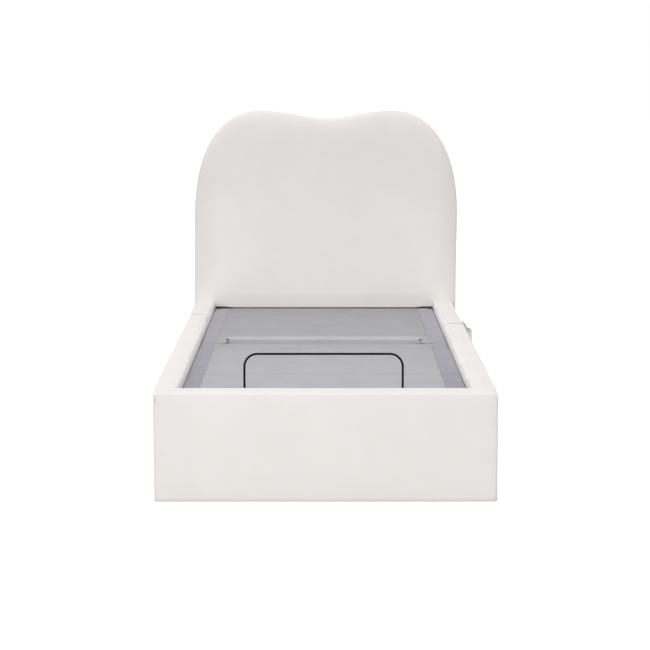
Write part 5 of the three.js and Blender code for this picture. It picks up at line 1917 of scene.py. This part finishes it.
@dataclass
class SidePocket:
    """The cloth pocket hung on the right rail's outer face."""

    back: float = 0.5762
    centre: float = 0.2725
    half: float = 0.158
    floor: float = 0.1705
    height: float = 0.1965
    depth: float = 0.0208
    handset: float = 0.2005
    wall: float = 0.0016
    corner: float = 0.022
    sag: float = 0.012
    hem: float = 0.0017
    cells: tuple[int, int] = (56, 32)

    def _stand_off(self, along: float, lift: float) -> float:
        """How far the pocket's front stands off its back, by place along Y and height share."""
        share = (along - self.centre) / self.half
        ends = ramp(share, -1.0, -0.66) * ramp(share, 1.0, 0.55)
        bottom = ramp(lift, -0.01, 0.05)
        filled = ramp(abs(along - self.handset), 0.080, 0.034)
        mouth = 0.0012 * math.sin(24 * along + 1.1) * ramp(lift, 0.75, 1.0) * (1 - filled)
        deep = (self.depth - self.wall * 1.5) * (0.62 + 0.38 * filled)
        return self.wall * 1.5 + deep * ends * bottom + mouth

    def _front(self, y: float, z: float) -> Point:
        """Where a point of the front lies, by its place along and up the flat pocket."""
        lift = z / self.height
        dip = self.sag * bump(y, 0.05, 0.06) * ramp(lift, 0.55, 1.0)
        off = self._stand_off(y + self.centre, lift)
        off += 0.0006 * ripple(Vector((y, z, 0)), 0.05, 3.3) * ramp(off, 0.002, 0.008)
        return (self.back + off, self.centre + y, self.floor + z - dip)

    def build(self) -> None:
        """Builds the pocket's body and the hem round its mouth."""
        tall = self.height / 2
        front = cloth_grid((-self.half, self.half), (-tall, tall), self.cells, 0.0)
        back = front.copy()
        for shape in (front, back):
            for vert in shape.verts:
                y, z = self._corner(vert.co.x, vert.co.y + tall)
                behind = (self.back, self.centre + y, self.floor + z)
                vert.co = self._front(y, z) if shape is front else behind
        bmesh.ops.reverse_faces(back, faces=back.faces)
        whole = joined([front, back])
        mouth = self.floor + self.height - 0.03
        rim = [e for e in whole.edges if e.is_boundary and min(v.co.z for v in e.verts) < mouth]
        loose = {v for e in rim for v in e.verts}
        bmesh.ops.remove_doubles(whole, verts=list(loose), dist=self.wall * 1.9)
        bmesh.ops.recalc_face_normals(whole, faces=whole.faces)
        piece = make_piece(whole, "side_pocket_cloth", "frame", COVER, ["side_pocket"], 70)
        thicken(piece, self.wall * 0.8)
        self._hem()

    def _hem(self) -> None:
        """The rolled hem round the pocket's mouth."""
        reach = self.half - 0.001
        path = [Vector(self._front(y, self.height)) for y in even_stations(-reach, reach, 0.006)]
        hem = make_piece(rod_along(path, self.hem, 12), "side_pocket_hem", "frame", COVER)

    def _corner(self, y: float, z: float) -> Pair:
        """Rounds the pocket's two lower corners."""
        dy, dz = abs(y) - (self.half - self.corner), self.corner - z
        if dy <= 0 or dz <= 0:
            return y, z
        share = max(dy, dz) / math.hypot(dy, dz)
        return math.copysign(self.half - self.corner + dy * share, y), self.corner - dz * share


# The mechanics

OUTWARD = Matrix(((0, 0, 1, 0), (1, 0, 0, 0), (0, 1, 0, 0), (0, 0, 0, 1)))


@dataclass
class Actuator:
    """A screw actuator: gearbox, motor and tube on one body, its rod on another.

    It lies along Y from its rear eye. An eye is given as its hole, wall and thickness, a
    screw as its radius and height, and a shank as its half thickness and half width.
    """

    name: str
    place: Matrix
    length: float
    wander: Pair
    box: tuple[Point, Point] = ((-0.038, 0.034, -0.039), (0.038, 0.126, 0.039))
    box_edge: float = 0.010
    motor: float = 0.031
    motor_y: float = 0.080
    cap_end: float = -0.143
    groove: float = 0.001
    grooves: Pair = (-0.126, -0.052)
    tube: float = 0.020
    tube_span: Pair = (0.118, 0.328)
    collar: float = 0.023
    collar_foot: float = 0.314
    bore: float = 0.01235
    bore_foot: float = 0.140
    rod: float = 0.012
    rod_foot: float = 0.142
    shank: Pair = (0.0056, 0.0108)
    rear_eye: Point = (0.0065, 0.0075, 0.012)
    rod_eye: Point = (0.007, 0.008, 0.012)
    side_screw: Pair = (0.0034, 0.0020)
    side_screws: tuple[Pair, Pair] = ((0.0465, 0.1135), (-0.0265, 0.0265))
    cap_screw: Pair = (0.0026, 0.0014)
    cap_screw_ring: float = 0.019

    def build(self) -> None:
        """Builds the actuator's body, its screws and its rod."""
        body, drive = f"{self.name}_drive", f"{self.name}_actuator"
        make_piece(self._housing(), f"{drive}_housing", body, PLASTIC, [drive], 35)
        make_piece(self._screws(), f"{drive}_screws", body, ZINC)
        make_piece(self._rod(), f"{drive}_piston", f"{body}_rod", ROD, [f"{drive}_rod"], 35)

    def _housing(self) -> Mesh:
        """The gearbox with its rear eye, motor and outer tube."""
        r, end, groove = self.motor, self.cap_end, self.groove
        motor = [(0, end), (r - 0.0045, end), (r - 0.003, end + 0.0015), (r - 0.003, -0.135)]
        motor += [(r - 0.0008, -0.135), (r, -0.1342)]
        for z in self.grooves:
            motor += [(r, z), (r - groove, z + groove), (r - groove, z + 0.004), (r, z + 0.005)]
        motor += [(r, -0.030), (0, -0.030)]
        c, foot, (low, high) = self.collar, self.collar_foot, self.tube_span
        tube = [(0, low), (self.tube, low), (self.tube, foot), (c - 0.0006, foot), (c, foot + 0.0006)]
        tube += [(c, high - 0.0008), (c - 0.0008, high), (self.bore, high), (self.bore, self.bore_foot)]
        tube.append((0, self.bore_foot))
        thin, wide = self.shank
        parts = [
            soft_box(*self.box, self.box_edge, 4),
            soft_box((-0.0275, 0.117, -0.0275), (0.0275, 0.134, 0.0275), 0.005, 3),
            soft_box((-thin, 0.0085, -wide), (thin, 0.044, wide), 0.0010, 2),
            slotted_eye((0, 0), (0, 0), *self.rear_eye),
            placed(lathe(motor, 48), at(0, self.motor_y, 0)),
            placed(lathe(tube, 40), turned(-90, Axis.X)),
        ]
        return placed(joined(parts), self.place)

    def _screws(self) -> Mesh:
        """The four screws in each side of the gearbox and three under the motor's cap."""
        screws = []
        for sign in (-1, 1):
            for y, z in product(*self.side_screws):
                spot = at(sign * self.box[1][0], y, z) @ turned(90 * sign, Axis.Y)
                screws.append(placed(socket_screw(*self.side_screw), spot))
        for turn in (30, 150, 270):
            across = turned(turn, Axis.Z) @ at(self.cap_screw_ring, 0, 0)
            spot = at(0, self.motor_y, self.cap_end) @ across @ turned(180, Axis.X)
            screws.append(placed(socket_screw(*self.cap_screw), spot))
        return placed(joined(screws), self.place)

    def _rod(self) -> Mesh:
        """The bright rod with its slotted eye."""
        r, foot, end = self.rod, self.rod_foot, self.length - 0.027
        thin, wide = self.shank
        rod = [(0, foot), (r - 0.001, foot), (r, foot + 0.001), (r, end - 0.001), (r - 0.001, end), (0, end)]
        pin = [(0, -0.0124), (0.0028, -0.0124), (0.0028, 0.0124), (0, 0.0124)]
        parts = [
            placed(lathe(rod, 40), turned(-90, Axis.X)),
            soft_box((-thin, end - 0.009, -wide), (thin, self.length - 0.010, wide), 0.0010, 2),
            placed(lathe(pin, 16), at(0, end - 0.0045, 0) @ turned(90, Axis.Y)),
            slotted_eye((self.length, 0), self.wander, *self.rod_eye),
        ]
        return placed(joined(parts), self.place)


@dataclass
class Understructure:
    """Legs, actuators, welds and the fixings under the deck."""

    leg_x: float = 0.415
    leg_y: tuple[tuple[str, float], ...] = (("foot", -0.93555), ("middle", -0.00655), ("head", 0.89445))
    leg_top: float = 0.2244
    flange: float = 0.030
    tubes: tuple[float, ...] = (-0.9929, -0.25655, 0.38245, 0.94245)
    tube_end: float = 0.3985
    tube_z: Pair = (0.2247, 0.2647)
    weld: float = 0.0019
    pins: tuple[Pair, ...] = ((-0.00655, 0.295), (0.15445, 0.295), (-0.30655, 0.207))
    pin_end: float = 0.38755
    bolt: Point = (0.0032, 0.0024, 0.0006)
    bolt_ring: float = 0.0250
    box_screw: Pair = (0.0034, 0.0018)
    box_screws: tuple[Pair, Pair] = ((-0.2715, -0.1185), (-0.2905, -0.2226))
    box_low: float = 0.1784
    drive_x: float = 0.130
    drive_z: float = 0.177
    head_lean: float = 0.022153
    foot_lean: float = 0.012177

    def build(self) -> None:
        """Builds all of it."""
        for side in Side:
            for end, y in self.leg_y:
                leg = placed(self._leg(), at(side.value * self.leg_x, y, 0))
                place = f"{end}_{side.label}"
                make_piece(leg, f"leg_tube_{place}", "frame", PLASTIC, [f"leg_{place}"], 35)
        self._leg_bolts()
        self._welds()
        self._pin_clips()
        self._box_screws()
        _, head_tube, foot_tube, _ = self.tubes
        head = at(self.drive_x, head_tube, self.drive_z) @ Matrix.Rotation(self.head_lean, 4, "X")
        Actuator("head", head, 0.42926, (0.00741, -0.00917)).build()
        foot = at(-self.drive_x, foot_tube, self.drive_z) @ turned(180, Axis.Z)
        foot = foot @ Matrix.Rotation(self.foot_lean, 4, "X")
        Actuator("foot", foot, 0.43007, (0.00269, -0.00327)).build()

    def _leg(self) -> Mesh:
        """A leg: glide, foot, tube and flange, turned in one."""
        top, wide = self.leg_top, self.flange
        glide = [(0, 0), (0.0215, 0), (0.0222, 0.0008), (0.0222, 0.0024), (0.0236, 0.0030), (0.0252, 0.0052)]
        foot = [(0.026, 0.0082), (0.026, 0.0188), (0.0252, 0.0224), (0.0234, 0.0248), (0.0206, 0.0260)]
        tube = [(0.0206, 0.0300), (0.020, 0.0306), (0.020, top - 0.0056), (0.0212, top - 0.0042)]
        head = [(wide - 0.0005, top - 0.004), (wide, top - 0.0035), (wide, top - 0.0005)]
        head += [(wide - 0.0005, top), (0, top)]
        return lathe(glide + foot + tube + head, 48)

    def _leg_bolts(self) -> None:
        """Three bolts up through each leg's flange."""
        bolts = []
        for side, (_, y), turn in product(Side, self.leg_y, (90, 210, 330)):
            spot = at(side.value * self.leg_x, y, self.leg_top - 0.004) @ turned(turn, Axis.Z)
            spot = spot @ at(self.bolt_ring, 0, 0) @ turned(180, Axis.X)
            bolts.append(placed(hex_bolt(*self.bolt), spot))
        make_piece(joined(bolts), "leg_bolts", "frame", ZINC)

    def _welds(self) -> None:
        """Weld beads where the cross tubes meet the side tubes."""
        beads = []
        low, high = self.tube_z
        reach = (high - low) / 2
        corners = ((-reach, low), (reach, low), (reach, high), (-reach, high), (-reach, low))
        for y, sign in product(self.tubes, (-1, 1)):
            path = []
            for ((y0, z0), (y1, z1)), step in product(zip(corners, corners[1:]), range(12)):
                share = step / 12
                along, up = y + y0 + (y1 - y0) * share, z0 + (z1 - z0) * share
                spot = Vector((sign * self.tube_end, along, up))
                path.append(spot + Vector((0.0004 * ripple(spot, 0.004, 2.0), 0, 0)))
            path.append(path[0])
            beads.append(rod_along(path, self.weld, 8))
        make_piece(joined(beads), "frame_welds", "frame", STEEL)

    def _pin_clips(self) -> None:
        """Push-on caps over the inner ends of the frame's pivot pins."""
        cap = [(0, 0.0017), (0.0030, 0.0016), (0.0046, 0.0009), (0.0078, 0.0006), (0.0078, 0), (0, 0)]
        clips = []
        for side, (y, z) in product(Side, self.pins):
            spot = at(side.value * self.pin_end, y, z) @ turned(-90 * side.value, Axis.Y)
            clips.append(placed(lathe(cap, 24), spot))
        make_piece(joined(clips), "pin_clips", "frame", ZINC)

    def _box_screws(self) -> None:
        """The four screws in the underside of the control box."""
        screws = []
        for x, y in product(*self.box_screws):
            spot = at(x, y, self.box_low) @ turned(180, Axis.X)
            screws.append(placed(socket_screw(*self.box_screw), spot))
        make_piece(joined(screws), "control_box_screws", "frame", ZINC)


class Mark(Enum):
    """The plain signs on the handset's buttons."""

    UP = "up"
    DOWN = "down"
    BAR = "bar"
    RING = "ring"

    def shape(self, size: float, thickness: float) -> Mesh:
        """The sign, flat on z = 0 and upright along y."""
        if self is Mark.RING:
            hole = size - size * 0.28
            ring = [(hole, 0), (size, 0), (size, thickness), (hole, thickness), (hole, 0)]
            return lathe(ring, 32)
        if self is Mark.BAR:
            return soft_box((-size, -size * 0.22, 0), (size, size * 0.22, thickness), 0)
        tip = size if self is Mark.UP else -size
        corners = [(-size, -tip * 0.55), (size, -tip * 0.55), (0, tip * 0.85)]
        return plate(corners if self is Mark.UP else corners[::-1], thickness)


@dataclass(frozen=True)
class Button:
    """One button: its name, its place on the handset and its sign."""

    name: str
    y: float
    z: float
    mark: Mark


@dataclass
class Handset:
    """The wireless handset that stands in the side pocket."""

    back: float = 0.5776
    front: float = 0.5936
    centre: Pair = (0.20045, 0.2553)
    half: Pair = (0.025, 0.075)
    corner: float = 0.012
    edge: float = 0.003
    well: float = 0.0079
    well_floor: float = 0.5900
    button_foot: float = 0.5912
    button: float = 0.0075
    button_tall: float = 0.0036
    dish: float = 0.0005
    sign: Pair = (0.0030, 0.0003)

    BUTTONS = (
        Button("head_up", 0.21145, 0.3003, Mark.UP),
        Button("foot_up", 0.18945, 0.3003, Mark.UP),
        Button("head_down", 0.21145, 0.2763, Mark.DOWN),
        Button("foot_down", 0.18945, 0.2763, Mark.DOWN),
        Button("lie_flat", 0.21145, 0.2523, Mark.BAR),
        Button("zero_gravity", 0.18945, 0.2523, Mark.RING),
    )

    def build(self) -> None:
        """Builds the casing and its buttons."""
        make_piece(self._casing(), "handset_shell", "handset", PLASTIC, ["handset_casing"], 35)
        for button in self.BUTTONS:
            self._button(button)

    def _ring(self, bm: Mesh, x: float, inset: float) -> list[Edge]:
        """A closed loop round the casing at one depth."""
        radius = self.corner - inset
        ring = []
        for quarter, (sy, sz) in enumerate(((1, 1), (-1, 1), (-1, -1), (1, -1))):
            for step in range(9):
                turn = math.pi / 2 * (quarter + step / 8)
                y = self.centre[0] + sy * (self.half[0] - self.corner) + radius * math.cos(turn)
                z = self.centre[1] + sz * (self.half[1] - self.corner) + radius * math.sin(turn)
                ring.append((x, y, z))
        return closed_loop(bm, ring)

    def _casing(self) -> Mesh:
        """A slab with rounded corners and edges and six round wells in its face."""
        bm = bmesh.new()
        turns = even_stations(0.0, math.pi / 2, math.pi / 8)
        rounding = [(self.edge * (1 - math.cos(t)), self.edge * (1 - math.sin(t))) for t in turns]
        rings = [self._ring(bm, self.back + deep, inset) for deep, inset in rounding]
        rings += [self._ring(bm, self.front - deep, inset) for deep, inset in reversed(rounding)]
        bridge(bm, rings)
        bmesh.ops.contextual_create(bm, geom=rings[0])
        rim = list(rings[-1])
        for button in self.BUTTONS:
            rim += self._well(bm, button)
        bmesh.ops.triangle_fill(bm, edges=rim, use_beauty=True, use_dissolve=False)
        return healed(bm)

    def _well(self, bm: Mesh, button: Button) -> list[Edge]:
        """Sinks one well and returns the edges of its mouth."""
        turns = [math.tau * step / 32 for step in range(32)]
        rim = [(button.y + self.well * math.cos(t), button.z + self.well * math.sin(t)) for t in turns]
        mouth, foot = [closed_loop(bm, [(x, y, z) for y, z in rim]) for x in (self.front, self.well_floor)]
        bridge(bm, (mouth, foot))
        bmesh.ops.contextual_create(bm, geom=foot)
        return mouth

    def _button(self, button: Button) -> None:
        """A button with a dished top and its sign."""
        r, tall = self.button, self.button_tall
        profile = [(0, 0), (r - 0.0002, 0), (r, 0.0002), (r, tall - 0.0011), (r - 0.0003, tall - 0.0005)]
        profile += [(r - 0.0009, tall - 0.0001), (r - 0.0014, tall), (r - 0.0021, tall - 0.0002)]
        profile.append((0, tall - self.dish))
        spot = at(self.button_foot, button.y, button.z) @ OUTWARD
        name, body = button.name, f"button_{button.name}"
        make_piece(placed(lathe(profile, 36), spot), f"key_{name}", body, RUBBER, [body], 35)
        sign = placed(button.mark.shape(*self.sign), spot @ at(0, 0, tall - self.dish))
        make_piece(sign, f"sign_{name}", body, PRINT)


# The studio


@dataclass
class Studio:
    """The camera, the floor, the lamps and the white surroundings."""

    lens: float = 93.72
    place: Point = (-0.01069, -6.63317, 1.50228)
    pitch: float = 0.11488
    yaw: float = 0.00150
    shift: float = -80 / 650
    ambient: float = 0.548
    floor_tone: float = 0.55
    floor_glow: float = 0.62
    floor_far_glow: float = 0.85
    floor_fade: Pair = (1.8, 5.0)
    lamps: tuple[tuple[str, Point, Point, Pair, float], ...] = (
        ("key", (-1.6, -5.2, 2.6), (0.0, -0.2, 0.4), (3.0, 2.2), 12.3),
        ("low", (-0.4, -7.4, 1.4), (0.0, 0.0, 0.7), (3.0, 1.4), 162.0),
        ("top", (-0.5, -0.5, 4.6), (0.0, -0.2, 0.4), (3.6, 4.6), 72.8),
        ("side_left", (-4.2, 0.4, 1.5), (0.0, 0.2, 0.4), (2.4, 1.6), 21.8),
        ("side_right", (4.2, 0.4, 1.5), (0.0, 0.2, 0.4), (2.4, 1.6), 19.0),
        ("back", (0.0, 3.2, 3.4), (0.0, -0.3, 0.3), (3.6, 1.6), 17.4),
    )

    def build(self) -> None:
        """Builds everything round the bed."""
        self._camera()
        self._world()
        self._floor()
        for lamp in self.lamps:
            self._lamp(*lamp)

    def _camera(self) -> None:
        """The camera at the photograph's viewpoint."""
        data = bpy.data.cameras.new("camera")
        data.lens = self.lens
        data.sensor_width = 36.0
        data.sensor_fit = "HORIZONTAL"
        data.shift_y = self.shift
        data.clip_end = 100.0
        camera = bpy.data.objects.new("camera", data)
        camera.location = self.place
        camera.rotation_euler = (math.pi / 2 - self.pitch, 0.0, -self.yaw)
        bpy.context.scene.collection.objects.link(camera)
        bpy.context.scene.camera = camera

    def _seen(self, g: Graph) -> Socket:
        """1 for what the camera sees straight, in a mirror or through glass, else 0."""
        path = g.add("LightPath").outputs
        direct = g.math("MAXIMUM", path["Is Camera Ray"], path["Is Glossy Ray"])
        return g.math("MAXIMUM", direct, path["Is Transmission Ray"])

    def _world(self) -> None:
        """White to look at, softer as a light."""
        world = bpy.data.worlds.new("surroundings")
        bpy.context.scene.world = world
        world.use_nodes = True
        g = Graph(world.node_tree)
        background = world.node_tree.nodes["Background"]
        background.inputs["Color"].default_value = (1, 1, 1, 1)
        strength = g.add("Mix", {0: self._seen(g), 2: self.ambient, 3: 1.0}, data_type="FLOAT")
        world.node_tree.links.new(strength.outputs[0], background.inputs["Strength"])

    def _floor(self) -> None:
        """A plain pale floor that keeps the bed's shadow."""
        bm = bmesh.new()
        bmesh.ops.create_grid(bm, x_segments=8, y_segments=8, size=30.0)
        mesh = bpy.data.meshes.new("floor")
        bm.to_mesh(mesh)
        bm.free()
        floor = bpy.data.objects.new("floor", mesh)
        floor.location.z = -0.0005
        bpy.context.scene.collection.objects.link(floor)
        material = bpy.data.materials.new("floor")
        material.use_nodes = True
        g = Graph(material.node_tree)
        shader = material.node_tree.nodes["Principled BSDF"]
        shader.inputs["Base Color"].default_value = rgba((self.floor_tone,) * 3)
        shader.inputs["Roughness"].default_value = 0.9
        shader.inputs["Specular IOR Level"].default_value = 0.0
        shader.inputs["Emission Color"].default_value = (1, 1, 1, 1)
        spot = g.add("TexCoord").outputs["Object"]
        far = g.add("VectorMath", {0: spot}, operation="LENGTH").outputs["Value"]
        glow = g.times(self._seen(g), g.step(far, *self.floor_fade, self.floor_glow, self.floor_far_glow))
        material.node_tree.links.new(glow, shader.inputs["Emission Strength"])
        mesh.materials.append(material)

    def _lamp(self, name: str, place: Point, target: Point, size: Pair, power: float) -> None:
        """A soft rectangular lamp aimed at a point."""
        data = bpy.data.lights.new(name, "AREA")
        data.shape = "RECTANGLE"
        data.size, data.size_y = size
        data.energy = power
        lamp = bpy.data.objects.new(name, data)
        lamp.location = place
        lamp.rotation_euler = (Vector(target) - Vector(place)).to_track_quat("-Z", "Y").to_euler()
        bpy.context.scene.collection.objects.link(lamp)


def dress_rest() -> None:
    """Gives every frame node that still shows its finish."""
    kinds = {kind.slot: kind for kind in (STEEL, PLASTIC, ROD, RUBBER, TIMBER, SATIN)}
    for name, node in frame["nodes"].items():
        if node.hide_render:
            continue
        slot = node.material_slots[0].material.name.split(".")[0]
        if slot in kinds:
            dress_node(name, kinds[slot])


def main() -> None:
    """Builds the studio and the bed, piece by piece."""
    logging.basicConfig(level=logging.INFO, format="%(name)s: %(message)s")
    settings = bpy.context.scene.view_settings
    settings.view_transform = "Standard"
    Studio().build()
    Headboard().build()
    Surround().build()
    Deck().build()
    Retainer().build()
    SidePocket().build()
    Understructure().build()
    Handset().build()
    dress_rest()


if __name__ == "__main__":
    main()
